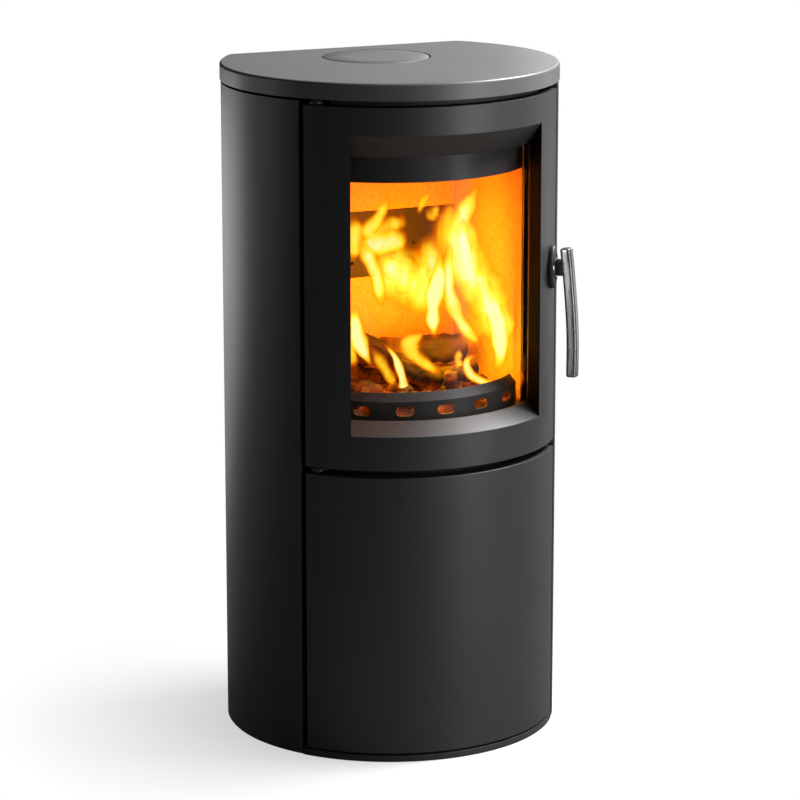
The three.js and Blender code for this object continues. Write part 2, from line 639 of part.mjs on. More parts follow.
// The slide under the shelf that covers the air slot, with the lug that hangs on the rod.
function airDamper() {
  const half = AIR_SLOT_HALF + DAMPER_LAP;
  const y0 = AIR_SLOT_Y0 - DAMPER_LAP;
  const y1 = AIR_SLOT_Y1 + DAMPER_LAP;
  const plate = block(-half, half, y0, y1, DAMPER_TOP - DAMPER_THICK, DAMPER_TOP);
  const lugEnd = ROD_REAR - LUG_THICK;
  const lugHalf = ROD_RADIUS + LUG_WALL;
  const lug = block(-lugHalf, lugHalf, lugEnd - LUG_THICK, lugEnd, ROD_Z - lugHalf, DAMPER_TOP - 1);
  const hole = alongY(disc(ROD_RADIUS + CLEAR, 0, 0, 0, 3 * LUG_THICK, 12), 0, lugEnd - 2 * LUG_THICK, ROD_Z);
  return cut(join(plate, lug), hole);
}

const magnetCatch = () =>
  sector(FRAME_OUTER + CLEAR, MAGNET_OUTER, ...MAGNET_DEGS, MAGNET_Z, MAGNET_Z + MAGNET_HEIGHT);

place("log_store_liner", logStoreLiner(), innerPaint);
place("firebox_shelf", shelf(), innerPaint);
place("air_box", airBox(), innerPaint);
place("air_pipe", airPipe(), innerPaint);
place("air_rod", airRod(), steel);
place("air_knob", airKnob(), handlePaint);
place("air_damper", airDamper(), steel);
place("magnet_catch", magnetCatch(), castIron);

// ---------------------------------------------------------------- firebox
function fireboxShell() {
  const body = prism(chamberPlan(SHELL_HALF, SHELL_BACK, FRAME_INNER - CLEAR), SHELL_FLOOR, SHELL_TOP);
  const inside = prism(
    chamberPlan(SHELL_INNER, SHELL_INNER_BACK, FRAME_INNER + 20),
    SHELL_INNER_FLOOR,
    SHELL_INNER_TOP,
  );
  const topFlue = disc(TOP_OUTLET_RADIUS, 0, FLUE_Y, SHELL_INNER_TOP - 1, SHELL_TOP + 1, 36);
  const rearFlue = alongY(disc(FLUE_RADIUS, 0, 0, 0, SHELL_WALL + 2, 36), 0, SHELL_INNER_BACK - 1, FLUE_REAR_Z);
  return cut(body, inside, topFlue, rearFlue, airSlot(SHELL_FLOOR - 1, SHELL_INNER_FLOOR + 1));
}

// The curved plate behind both doors, with an opening for the fire and one for the log store.
function frontFrame() {
  const plate = sector(
    FRAME_INNER,
    FRAME_OUTER,
    -FRAME_HALF_DEG,
    FRAME_HALF_DEG,
    BASE_THICK + CLEAR,
    FRAME_TOP,
  );
  const opening = (z0, z1) => block(-APERTURE_HALF, APERTURE_HALF, -FRAME_OUTER - 5, -100, z0, z1);
  return cut(plate, opening(APERTURE_BOTTOM, APERTURE_TOP), opening(STORE_BOTTOM, STORE_TOP));
}

function hearthPlate() {
  const plate = prism(chamberPlan(BRICK_OUTER, BRICK_REAR, BRICK_FRONT), HEARTH_Z, HEARTH_TOP);
  const hole = block(
    -GRATE_HALF + HEARTH_LAP,
    GRATE_HALF - HEARTH_LAP,
    GRATE_Y0 + HEARTH_LAP,
    GRATE_Y1 - HEARTH_LAP,
    HEARTH_Z - 1,
    HEARTH_TOP + 1,
  );
  const legs = SIDES.map(({ sign }) =>
    block(
      ...span(sign, BRICK_OUTER - 5, BRICK_OUTER - 2),
      -85,
      BRICK_REAR - 20,
      SHELL_INNER_FLOOR + CLEAR,
      HEARTH_Z + 1,
    ),
  );
  return join(cut(plate, hole), ...legs);
}

function ashPan() {
  const z0 = SHELL_INNER_FLOOR + CLEAR;
  const z1 = z0 + PAN_HEIGHT;
  const w = PAN_WALL;
  const tray = block(-PAN_HALF, PAN_HALF, PAN_Y0, PAN_Y1, z0, z1);
  const inside = block(-PAN_HALF + w, PAN_HALF - w, PAN_Y0 + w, PAN_Y1 - w, z0 + w, z1 + 1);
  const lip = block(-PAN_LIP_HALF, PAN_LIP_HALF, PAN_Y0 - PAN_LIP, PAN_Y0 + 1, z1 - w, z1);
  return join(cut(tray, inside), lip);
}

// The cast grate: a frame with straight bars front to back.
function grate() {
  const z0 = HEARTH_TOP + CLEAR;
  const casting = block(-GRATE_HALF, GRATE_HALF, GRATE_Y0, GRATE_Y1, z0, z0 + GRATE_THICK);
  const pitch = GRATE_BAR + GRATE_SLOT;
  const count = Math.floor((2 * (GRATE_HALF - GRATE_RIM) + GRATE_BAR) / pitch);
  const first = -((count - 1) * pitch) / 2;
  const gaps = Array.from({ length: count }, (_, i) => {
    const x = first + i * pitch;
    return block(
      x - GRATE_SLOT / 2,
      x + GRATE_SLOT / 2,
      GRATE_Y0 + GRATE_RIM,
      GRATE_Y1 - GRATE_RIM,
      z0 - 1,
      z0 + GRATE_THICK + 1,
    );
  });
  return cut(casting, ...gaps);
}

// Half of the firebrick floor, cut round the grate.
function floorBrick(sign) {
  const z0 = HEARTH_TOP + CLEAR;
  const half = BRICK_HALF - CLEAR;
  const floor = prism(chamberPlan(half, BACK_BRICK_Y - CLEAR, BRICK_FRONT), z0, FLOOR_TOP);
  const side = block(...span(sign, CLEAR / 2, half + 1), -FRAME_OUTER, BACK_BRICK_Y, z0 - 1, FLOOR_TOP + 1);
  const well = block(
    -GRATE_HALF - CLEAR,
    GRATE_HALF + CLEAR,
    GRATE_Y0 - CLEAR,
    GRATE_Y1 + CLEAR,
    z0 - 1,
    FLOOR_TOP + 1,
  );
  return cut(floor.intersect(side), well);
}

const underBaffle = (y) => BAFFLE_REAR_Z + (BRICK_REAR - y) * BAFFLE_SLOPE;

// A side brick: its top follows the slope of the baffle that rests on it.
function sideBrick(sign) {
  const z0 = HEARTH_TOP + CLEAR;
  const profile = points([
    [-FRAME_OUTER, z0],
    [BRICK_REAR, z0],
    [BRICK_REAR, underBaffle(BRICK_REAR)],
    [BAFFLE_FRONT_Y, BAFFLE_FRONT_Z],
    [-FRAME_OUTER, BAFFLE_FRONT_Z],
  ]);
  const within = prism(chamberPlan(BRICK_OUTER, BRICK_REAR + 1, BRICK_FRONT), z0 - 1, BAFFLE_FRONT_Z + 1);
  return acrossX(profile, ...span(sign, BRICK_HALF, BRICK_OUTER + 1)).intersect(within);
}

const backBrickLower = () =>
  block(
    -BRICK_HALF + CLEAR,
    BRICK_HALF - CLEAR,
    BACK_BRICK_Y,
    BRICK_REAR,
    HEARTH_TOP + CLEAR,
    AIR_PLATE_BOTTOM - CLEAR,
  );

function backBrickUpper() {
  const profile = points([
    [BACK_BRICK_Y, AIR_PLATE_TOP + CLEAR],
    [BRICK_REAR, AIR_PLATE_TOP + CLEAR],
    [BRICK_REAR, underBaffle(BRICK_REAR)],
    [BACK_BRICK_Y, underBaffle(BACK_BRICK_Y)],
  ]);
  return acrossX(profile, -BRICK_HALF + CLEAR, BRICK_HALF - CLEAR);
}

// The steel channel across the rear wall, with the small holes that feed air over the fire.
function rearAirPlate() {
  const half = BRICK_HALF - CLEAR;
  const channel = block(-half, half, BACK_BRICK_Y, BRICK_REAR, AIR_PLATE_BOTTOM, AIR_PLATE_TOP);
  const inside = block(
    -half - 1,
    half + 1,
    BACK_BRICK_Y + AIR_PLATE_THICK,
    BRICK_REAR + 1,
    AIR_PLATE_BOTTOM + AIR_PLATE_THICK,
    AIR_PLATE_TOP - AIR_PLATE_THICK,
  );
  const holes = AIR_HOLE_ROWS.flatMap(({ drop, first, last }) =>
    Array.from({ length: last - first + 1 }, (_, i) =>
      alongY(
        disc(AIR_HOLE_RADIUS, 0, 0, 0, AIR_PLATE_THICK + 2, 8),
        (first + i) * AIR_HOLE_PITCH,
        BACK_BRICK_Y - 1,
        AIR_PLATE_TOP - drop,
      ),
    ),
  );
  return cut(channel, inside, ...holes);
}

// The sloping firebrick baffle over the fire.
function baffleBrick() {
  const thick = BAFFLE_THICK / Math.cos(Math.atan(BAFFLE_SLOPE));
  const profile = points([
    [BAFFLE_FRONT_Y, underBaffle(BAFFLE_FRONT_Y) + CLEAR],
    [BAFFLE_REAR_Y, underBaffle(BAFFLE_REAR_Y) + CLEAR],
    [BAFFLE_REAR_Y, underBaffle(BAFFLE_REAR_Y) + CLEAR + thick],
    [BAFFLE_FRONT_Y, underBaffle(BAFFLE_FRONT_Y) + CLEAR + thick],
  ]);
  return acrossX(profile, -BRICK_OUTER, BRICK_OUTER);
}

// The curved strip that turns the air down over the glass.
const airWashStrip = () =>
  sector(
    WASH_INNER,
    FRAME_INNER - CLEAR,
    -WASH_HALF_DEG,
    WASH_HALF_DEG,
    WASH_BOTTOM,
    SHELL_INNER_TOP - CLEAR,
  );

function oblong(width, height) {
  const radius = height / 2;
  const offset = width / 2 - radius;
  const end = (sign) =>
    Array.from({ length: 7 }, (_, i) => {
      const turn = (Math.PI * i) / 6 - Math.PI / 2;
      return new THREE.Vector2(sign * (offset + radius * Math.cos(turn)), sign * radius * Math.sin(turn));
    });
  return [...end(1), ...end(-1)];
}

// The slotted strip that keeps logs off the glass: an upright with its top edge turned back.
function logRetainer() {
  const r = RETAINER_RADIUS;
  const t = RETAINER_THICK;
  const z0 = FLOOR_TOP + CLEAR;
  const lipTop = RETAINER_BEND + RETAINER_LIP_RISE;
  const section = [
    [r - t, z0],
    [r, z0],
    [r, RETAINER_BEND],
    [r - RETAINER_LIP_BACK, lipTop],
    [r - RETAINER_LIP_BACK - t, lipTop - 1.5],
    [r - t, RETAINER_BEND - 1],
  ];
  const spanned = sector(r - 30, r + 5, -RETAINER_HALF_DEG, RETAINER_HALF_DEG, z0 - 1, lipTop + 1);
  const slots = SLOT_DEGS.map((deg) =>
    prism(oblong(SLOT_WIDTH, SLOT_HEIGHT), r - t - 3, r + 3)
      .rotate([90, 0, 0])
      .rotate([0, 0, deg])
      .translate([0, 0, RETAINER_BEND - SLOT_DROP]),
  );
  return cut(turned(section, 90).intersect(spanned), ...slots);
}

// The rear flue spigot with its bolting flange against the firebox.
function flueCollar() {
  const start = SHELL_BACK + CLEAR;
  const profile = [
    [FLUE_RADIUS, 0],
    [FLUE_RADIUS + FLUE_FLANGE, 0],
    [FLUE_RADIUS + FLUE_FLANGE, SHELL_WALL],
    [FLUE_RADIUS + FLUE_WALL, SHELL_WALL],
    [FLUE_RADIUS + FLUE_WALL, SPIGOT_END - start],
    [FLUE_RADIUS, SPIGOT_END - start],
  ];
  return alongY(turned(profile, 36), 0, start, FLUE_REAR_Z);
}

// The lid over the unused top outlet, with a boss to lift it by.
function topFlueBlank() {
  const z0 = SHELL_TOP + CLEAR;
  return join(
    disc(TOP_OUTLET_RADIUS + BLANK_LAP, 0, FLUE_Y, z0, z0 + SHELL_WALL, 36),
    disc(BLANK_BOSS_RADIUS, 0, FLUE_Y, z0 + 1, z0 + SHELL_WALL + BLANK_BOSS_HEIGHT, 16),
  );
}

place("firebox_shell", fireboxShell(), innerPaint);
place("front_frame", frontFrame(), innerPaint);
place("hearth_plate", hearthPlate(), innerPaint);
place("ash_pan", ashPan(), innerPaint);
place("grate", grate(), castIron);
SIDES.forEach(({ word, sign }) => place(`floor_brick_${word}`, floorBrick(sign), firebrick));
SIDES.forEach(({ word, sign }) => place(`side_brick_${word}`, sideBrick(sign), firebrick));
place("back_brick_lower", backBrickLower(), firebrick);
place("back_brick_upper", backBrickUpper(), firebrick);
place("rear_air_plate", rearAirPlate(), castIron);
place("baffle_brick", baffleBrick(), firebrick);
place("air_wash_strip", airWashStrip(), innerPaint);
place("log_retainer", logRetainer(), castIron);
place("flue_collar", flueCollar(), castIron);
place("top_flue_blank", topFlueBlank(), castIron);

// ---------------------------------------------------------------- hinges
// A flat hinge bracket from the front frame out to the hinge axis.
function hingeBracket(z0, innerRadius) {
  const z1 = z0 + BRACKET_THICK;
  const plan = hullOf([
    polar(innerRadius, HINGE_DEG - 5),
    polar(innerRadius, HINGE_DEG + 4),
    ...circle(BRACKET_EYE, HINGE.x, HINGE.y, 16),
  ]);
  const hole = disc(PIN_RADIUS + CLEAR, HINGE.x, HINGE.y, z0 - 1, z1 + 1, 16);
  return cut(prism(plan, z0, z1), hole, disc(innerRadius, 0, 0, z0 - 1, z1 + 1, 90));
}

// A hinge pin from z0 to z1 with a collar that starts at collarZ.
const hingePin = (z0, z1, collarZ, collarThick) =>
  join(
    disc(PIN_RADIUS, HINGE.x, HINGE.y, z0, z1, 16),
    disc(PIN_RADIUS + 3, HINGE.x, HINGE.y, collarZ, collarZ + collarThick, 16),
  );

function placeHinges() {
  const topCollar = TOP_BRACKET_Z + BRACKET_THICK + CLEAR;
  const midCollar = MID_BRACKET_Z + BRACKET_THICK + CLEAR;
  const lowCollar = BASE_THICK + CLEAR;
  place("hinge_bracket_top", hingeBracket(TOP_BRACKET_Z, FRAME_INNER), casePaint);
  place("hinge_bracket_middle", hingeBracket(MID_BRACKET_Z, FRAME_OUTER + CLEAR), casePaint);
  place("hinge_pin_top", hingePin(DOOR_TOP - PIN_REACH, topCollar + 1.5, topCollar, 1.5), steel);
  place(
    "hinge_pin_middle",
    hingePin(
      LOWER_DOOR_TOP - PIN_REACH,
      FIRE_DOOR_BOTTOM + PIN_REACH,
      midCollar,
      FIRE_DOOR_BOTTOM - midCollar - CLEAR,
    ),
    steel,
  );
  place(
    "hinge_pin_bottom",
    hingePin(1, LOWER_DOOR_BOTTOM + PIN_REACH, lowCollar, LOWER_DOOR_BOTTOM - lowCollar - CLEAR),
    steel,
  );
}
placeHinges();

// ---------------------------------------------------------------- fire door
// The window's opening grown by a margin: its head and sill splay outwards, its sides run straight back.
function windowOpening(margin, inner, outer) {
  const depth = CASE_RADIUS - BACKING_INNER;
  const along = (rear, front, radius) => rear + ((front - rear) * (radius - BACKING_INNER)) / depth;
  const sill = (radius) => along(WINDOW_REAR_BOTTOM, WINDOW_FRONT_BOTTOM, radius) - margin;
  const head = (radius) => along(WINDOW_REAR_TOP, WINDOW_FRONT_TOP, radius) + margin;
  const section = [
    [inner, sill(inner)],
    [outer, sill(outer)],
    [outer, head(outer)],
    [inner, head(inner)],
  ];
  const half = WINDOW_HALF + margin;
  return turned(section, 90).intersect(block(-half, half, -outer - 5, -50, FIRE_DOOR_BOTTOM, DOOR_TOP));
}

const eyeAt = (z0, z1) => disc(EYE_RADIUS, HINGE.x, HINGE.y, z0, z1, 16);
const eyeBore = (z0, z1) => disc(PIN_RADIUS + CLEAR, HINGE.x, HINGE.y, z0, z1, 16);

function fireDoor() {
  const z0 = FIRE_DOOR_BOTTOM;
  const z1 = DOOR_TOP;
  const rimDeg = DOOR_HALF_DEG - toDegrees(DOOR_RIM / CASE_RADIUS);
  const box = sector(DOOR_RIM_RADIUS, CASE_RADIUS, -DOOR_HALF_DEG, DOOR_HALF_DEG, z0, z1);
  const hollow = sector(DOOR_RIM_RADIUS - 2, DOOR_INNER, -rimDeg, rimDeg, z0 + DOOR_RIM, z1 - DOOR_RIM);
  const backing = sector(
    BACKING_INNER,
    BACKING_OUTER,
    -BACKING_HALF_DEG,
    BACKING_HALF_DEG,
    BACKING_BOTTOM,
    BACKING_TOP,
  );
  const tunnel = windowOpening(WINDOW_WALL, BACKING_INNER + 1, DOOR_INNER + 2);
  const shaftHole = disc(SHAFT_RADIUS + 2 * CLEAR, 0, 0, DOOR_INNER - 5, CASE_RADIUS + 5, 16);
  const camNotch = block(
    CAM_HUB_RADIUS + 4,
    CAM_REACH + 12,
    -CAM_HALF_HEIGHT - CAM_ROOM,
    CAM_RISE + CAM_HALF_HEIGHT + CAM_ROOM,
    CAM_INNER - 5,
    CAM_INNER + CAM_THICK + CAM_ROOM,
  );
  return cut(
    join(
      cut(box, hollow),
      backing,
      tunnel,
      eyeAt(z1 - EYE_LENGTH, z1),
      eyeAt(z0, z0 + EYE_LENGTH),
    ),
    windowOpening(0, BACKING_INNER - 8, CASE_RADIUS + 8),
    eyeBore(z1 - PIN_REACH - 1, z1 + 1),
    eyeBore(z0 - 1, z0 + PIN_REACH + 1),
    onHandle(shaftHole),
    onHandle(camNotch),
  );
}

const doorGlass = () =>
  sector(GLASS_INNER, GLASS_OUTER, -GLASS_HALF_DEG, GLASS_HALF_DEG, GLASS_BOTTOM, GLASS_TOP);

function glassGasket() {
  const tape = sector(
    GASKET_INNER,
    GASKET_INNER + GASKET_THICK,
    -GLASS_HALF_DEG,
    GLASS_HALF_DEG,
    GLASS_BOTTOM,
    GLASS_TOP,
  );
  const view = block(
    -WINDOW_HALF,
    WINDOW_HALF,
    -CASE_RADIUS,
    -50,
    WINDOW_REAR_BOTTOM,
    WINDOW_REAR_TOP,
  );
  return cut(tape, view);
}

// The rope that seals the door, between its backing plate and the front frame.
function ropeSeal() {
  const inner = FRAME_OUTER + ROPE_PLAY;
  const outer = BACKING_INNER - CLEAR;
  const z0 = GLASS_BOTTOM - ROPE_MARGIN - ROPE_WIDTH;
  const z1 = GLASS_TOP + ROPE_MARGIN + ROPE_WIDTH;
  const innerDeg = BACKING_HALF_DEG - ROPE_DEG;
  return cut(
    sector(inner, outer, -BACKING_HALF_DEG, BACKING_HALF_DEG, z0, z1),
    sector(inner - 1, outer + 1, -innerDeg, innerDeg, z0 + ROPE_WIDTH, z1 - ROPE_WIDTH),
  );
}

// A stepped clamp that holds the edge of the glass against its gasket.
function glassClamp(sign, z) {
  const z0 = z - CLAMP_HEIGHT / 2;
  const z1 = z + CLAMP_HEIGHT / 2;
  const [tip, step, heel] = CLAMP_DEGS;
  return join(
    sector(CLAMP_INNER, GLASS_INNER - CLEAR, ...span(sign, tip, heel), z0, z1),
    sector(CLAMP_INNER, BACKING_INNER - CLEAR, ...span(sign, step, heel), z0, z1),
  );
}

// The pointed oval rosette round the handle's shaft.
function rosette() {
  const side = (sign) =>
    Array.from({ length: 10 }, (_, i) => {
      const share = -1 + i / 5;
      return new THREE.Vector2(
        sign * ROSETTE_HALF_WIDTH * Math.cos((share * Math.PI) / 2),
        sign * share * ROSETTE_HALF_HEIGHT,
      );
    });
  const seat = CASE_RADIUS + CLEAR;
  const hole = disc(SHAFT_RADIUS + CLEAR, 0, 0, seat - 1, seat + ROSETTE_THICK + 1, 16);
  return onHandle(cut(prism([...side(1), ...side(-1)], seat, seat + ROSETTE_THICK), hole));
}

place("fire_door_frame", fireDoor(), casePaint);
place("door_glass", doorGlass(), ceramicGlass);
place("glass_gasket", glassGasket(), rope);
place("door_rope_seal", ropeSeal(), rope);
SIDES.forEach(({ word, sign }) =>
  CLAMP_ZS.forEach((z, i) => place(`glass_clamp_${word}_${i + 1}`, glassClamp(sign, z), steel)),
);
place("handle_rosette", rosette(), casePaint);

// ---------------------------------------------------------------- handle and latch
function handleWasher() {
  const z1 = STUB_SEAT + WASHER_THICK;
  return onHandle(
    cut(
      disc(STUB_RADIUS + 1.2, 0, 0, STUB_SEAT, z1, 24),
      disc(SHAFT_RADIUS + CLEAR, 0, 0, STUB_SEAT - 1, z1 + 1, 16),
    ),
  );
}

// The grip: a bowed bar of oval section that hangs from a round stub.
function handleGrip() {
  const line = GRIP_LINE.map(([out, up]) => new THREE.Vector3(0, up, CASE_RADIUS + out));
  const sides = 14;
  const section = Array.from({ length: sides }, (_, i) => {
    const turn = (2 * Math.PI * i) / sides;
    return new THREE.Vector2((GRIP_WIDTH / 2) * Math.cos(turn), (GRIP_THICK / 2) * Math.sin(turn));
  });
  const bar = solid(
    new THREE.ExtrudeGeometry(new THREE.Shape(section), {
      steps: 12,
      bevelEnabled: false,
      extrudePath: new THREE.CatmullRomCurve3(line),
    }),
  );
  const seat = STUB_SEAT + WASHER_THICK + CLEAR;
  const stub = disc(STUB_RADIUS, 0, 0, seat, SHAFT_OUT + STUB_GRIP, 24);
  const bore = disc(SHAFT_RADIUS + CLEAR, 0, 0, seat - 1, SHAFT_OUT + CLEAR, 16);
  return onHandle(cut(join(bar, stub), bore));
}

const handleShaft = () => onHandle(disc(SHAFT_RADIUS, 0, 0, SHAFT_IN, SHAFT_OUT, 16));

// The latch cam on the shaft's inner end, with its tongue pointing past the door's right edge.
function latchCam() {
  const outer = CAM_INNER + CAM_THICK;
  const hub = disc(CAM_HUB_RADIUS, 0, 0, CAM_INNER, outer, 20);
  const tongue = block(0, CAM_REACH, -CAM_HALF_HEIGHT, CAM_HALF_HEIGHT, CAM_INNER, outer);
  const bore = disc(SHAFT_RADIUS + CLEAR, 0, 0, CAM_INNER - 1, outer + 1, 16);
  return onHandle(cut(join(hub, tongue), bore));
}

// The stop on the front frame that the latch tongue bears on from the front.
const latchStrike = () =>
  sector(
    FRAME_OUTER + CLEAR,
    CAM_INNER - 2,
    ...STRIKE_DEGS,
    HANDLE_Z - STRIKE_HEIGHT / 2,
    HANDLE_Z + STRIKE_HEIGHT / 2,
  );

place("handle_grip", handleGrip(), handlePaint);
place("handle_shaft", handleShaft(), steel);
place("handle_washer", handleWasher(), steel);
place("latch_cam", latchCam(), steel);
place("latch_strike", latchStrike(), steel);

// ---------------------------------------------------------------- lower door
// The sheet-steel lower door: a curved skin with its four edges turned in and a hinge eye at each end.
function lowerDoor() {
  const z0 = LOWER_DOOR_BOTTOM;
  const z1 = LOWER_DOOR_TOP;
  const rear = DOOR_RIM_RADIUS;
  const innerDeg = DOOR_HALF_DEG - toDegrees(SHEET / CASE_INNER);
  const box = sector(rear, CASE_RADIUS, -DOOR_HALF_DEG, DOOR_HALF_DEG, z0, z1);
  const hollow = sector(rear - 2, CASE_INNER, -innerDeg, innerDeg, z0 + SHEET, z1 - SHEET);
  return cut(
    join(cut(box, hollow), eyeAt(z1 - LOWER_EYE_LENGTH, z1), eyeAt(z0, z0 + LOWER_EYE_LENGTH)),
    eyeBore(z1 - PIN_REACH - 1, z1 + 1),
    eyeBore(z0 - 1, z0 + PIN_REACH + 1),
  );
}

// The steel tab on the lower door that the magnet pulls.
const magnetTab = () =>
  sector(
    MAGNET_OUTER + CLEAR,
    MAGNET_OUTER + CLEAR + STRIKE_PLATE,
    MAGNET_DEGS[0],
    DOOR_HALF_DEG,
    MAGNET_Z,
    MAGNET_Z + MAGNET_HEIGHT,
  );

place("lower_door_panel", lowerDoor(), casePaint);
place("magnet_tab", magnetTab(), steel);

export default stove;
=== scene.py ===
"""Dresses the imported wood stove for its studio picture: fine surfaces, materials, fire, light and camera.

Sizes are in millimetres and follow the CAD model; the mesh builders turn them into metres. The places
of the lights and the camera are in metres. Angles in plan are measured from the front (-Y) and are
positive towards +X.
"""

import json
import math
import random

import bmesh
import bpy
from mathutils import Matrix, Vector, noise

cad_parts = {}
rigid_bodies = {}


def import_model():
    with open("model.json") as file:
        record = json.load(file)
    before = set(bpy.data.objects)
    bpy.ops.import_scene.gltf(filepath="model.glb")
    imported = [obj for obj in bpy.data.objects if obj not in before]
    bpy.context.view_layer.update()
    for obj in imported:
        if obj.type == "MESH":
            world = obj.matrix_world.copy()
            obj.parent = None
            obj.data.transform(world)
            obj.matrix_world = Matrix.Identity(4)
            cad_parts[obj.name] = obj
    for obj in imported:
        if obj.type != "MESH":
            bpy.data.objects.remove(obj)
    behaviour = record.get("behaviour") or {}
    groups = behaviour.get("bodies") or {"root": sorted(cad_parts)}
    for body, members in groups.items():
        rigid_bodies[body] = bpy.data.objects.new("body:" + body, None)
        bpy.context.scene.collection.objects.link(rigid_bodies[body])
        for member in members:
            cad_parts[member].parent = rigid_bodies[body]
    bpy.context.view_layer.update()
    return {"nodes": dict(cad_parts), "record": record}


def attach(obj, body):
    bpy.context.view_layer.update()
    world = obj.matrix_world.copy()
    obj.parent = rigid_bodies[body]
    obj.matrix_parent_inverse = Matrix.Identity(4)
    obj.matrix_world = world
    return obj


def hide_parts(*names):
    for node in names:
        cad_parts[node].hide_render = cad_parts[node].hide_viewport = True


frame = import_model()

MM = 0.001
STEP_DEG = 1.5  # angle between points on the large curves
CORNER_STEPS = 8  # points round each rear corner of the casing
PLAN_STEPS = 92  # steps along the curve of each half of a closed plan
LOOP_ACROSS, LOOP_UP = 72, 8  # steps along the sides of a loop in a door or the glass
SHARP = math.radians(38)  # edges sharper than this are bevelled
FLAT = math.radians(1)  # faces of a CAD node that meet at less than this become one
WELD = 1e-6  # points nearer than this, in metres, become one

RECORD = frame["record"]
SLOT_OF = {part["node"]: part["material_slot"] for part in RECORD["subparts"]}
BODY_OF = {node: body for body, nodes in RECORD["behaviour"]["bodies"].items() for node in nodes}

# casing
STOVE_HEIGHT = 1000
TOP_RADIUS, TOP_BACK, TOP_CORNER, TOP_RIM = 250, 165, 18, 22
TOP_UNDER, TOP_CEILING = 975, 995
TOP_ARRIS, ARRIS_STEPS = 4, 6
CASE_RADIUS, CASE_BACK, CASE_CORNER, SHEET = 248.5, 160, 16, 2
PANEL_EDGE_DEG, PANEL_BOTTOM, PANEL_TOP = 56.05, 2.5, 971.5
PANEL_FLANGE = 45  # width of a side panel's strip along the back
LIP_INNER, LIP_OUTER, LIP_BOTTOM = 238, 246.6, 10.3  # a side panel's turned-in front edge
BASE_RADIUS, BASE_HALF_DEG, BASE_THICK = 248, 55.45, 10
BASE_SIDE_RADIUS, BASE_BACK, BASE_CORNER = 246.2, 157.7, 14  # the base plate inside the side panels

# flue cover and the recess that it lies in
FLUE_Y = 48
COVER_RADIUS, COVER_UNDER, COVER_ARRIS = 80, 996, 0.4
COVER_TRIM = 1.6  # the cover is drawn smaller by this, so that the gap round it reads as in the photo
RECESS_RADIUS, RECESS_FLOOR = 81.2, 995.7
LEDGE_INNER, LEDGE_OUTER, LEDGE_UNDER = 75, 90, 990.7
COVER_SIDES = 96

# doors
DOOR_HALF_DEG = 53.9
FIRE_DOOR_Z = (440, 965.5)
LOWER_DOOR_Z = (13, 429)
RIM_RADIUS = 228  # rear edge of both doors' rims
LOWER_RIM_DEG = 53.43
DOOR_INNER = 241.5  # back of the fire door's skin
DOOR_RIM, RIM_INNER_DEG = 5, 52.75
WINDOW_HALF, WINDOW_WALL = 151, 8
WINDOW_REAR_Z, WINDOW_FRONT_Z = (507, 891), (490, 925)  # sill and head at the door's back and face
WALL_SKIN_DEG, WALL_BACKING_DEG = 41.17, 45.2  # where the window's walls meet the skin and the backing
BACKING_OUTER, BACKING_INNER = 224, 220.1  # the curved plate on the fire door's back
BACKING_DEG, BACKING_Z = 51.5, (484, 914)
REVEAL_STEPS = 6
REVEAL_Z = (495, 915)  # the window's side walls take a darker, matt paint between these heights: painted shade for the recess
GLASS_RADIUS, GLASS_THICK, GLASS_HALF_DEG, GLASS_Z = 218, 4, 46.8, (500, 898)
HINGE_DEG, HINGE_RADIUS = -50.5, 236
EYE_BORE, EYE_RADIUS, EYE_SIDES = 4.3, 8.5, 32

# handle
HANDLE_DEG, HANDLE_Z = 47, 706
HANDLE_SIDES = 40
CLEAR = 0.3  # gap between pieces that touch on the real handle
SHAFT_RADIUS, SHAFT_RUN = 6, 0.6  # and the room round it in the door
DRILL_REACH, DRILL_SIDES = (230, 270), 32
ROSETTE_HALF_WIDTH, ROSETTE_HALF_HEIGHT, ROSETTE_SIDES = 16, 32, 64
ROSETTE_POINT = 1.15  # above 1, the oval's ends are drawn towards a point
ROSETTE_RIM = ((1, 0), (1, 4.6), (0.975, 6.2), (0.92, 7.1), (0.8, 7.5))  # share of the outline, height
STUB_SEAT = 256.6
WASHER_RADIUS, WASHER_THICK = 13.7, 1.6
STUB_RADIUS, STUB_END, STUB_BORE_END = 12.5, 272, 264.3
STUB_FOOT_CHAMFER, STUB_END_CHAMFER = 0.8, 2
GRIP_LINE = [(272, 29), (277, -14), (283, -93), (283.5, -162)]  # radius, height over the shaft
GRIP_HALF_WIDTH, GRIP_HALF_THICK, GRIP_DOME = 10, 8, 2.5
GRIP_END_SIZE = 0.84  # share of the grip's section that its very ends have
GRIP_ROUNDNESS = 0.5  # 1 would make the section an ellipse, 0 a rectangle
GRIP_STEPS = 36

# the camera's view, which the flames are turned to
CAMERA_TURN_DEG, CAMERA_TILT_DEG = 24.65, 76.735
CAMERA_PLACE = (-2.0879, -4.5862, 1.6749)
LENS, SENSOR_WIDTH = 155.0, 36.0


# ------------ plans and profiles
def polar(radius, deg):
    turn = math.radians(deg)
    return (radius * math.sin(turn), -radius * math.cos(turn))


def arc(radius, start, end, count=None):
    count = count or max(1, math.ceil(abs(end - start) / STEP_DEG))
    return [polar(radius, start + (end - start) * i / count) for i in range(count + 1)]


def casing_side(radius, back, corner, start, count=None):
    """One side of the casing's plan, from an angle on the right round to the start of the flat back."""
    centre_x = math.sqrt((radius - corner) ** 2 - (back - corner) ** 2)
    meet = math.degrees(math.atan2(back - corner, centre_x))
    fillet = []
    for i in range(1, CORNER_STEPS + 1):
        turn = math.radians(meet + (90 - meet) * i / CORNER_STEPS)
        fillet.append((centre_x + corner * math.cos(turn), back - corner + corner * math.sin(turn)))
    return arc(radius, start, 90 + meet, count) + fillet


def mirrored(outline):
    return [(-x, y) for x, y in reversed(outline)]


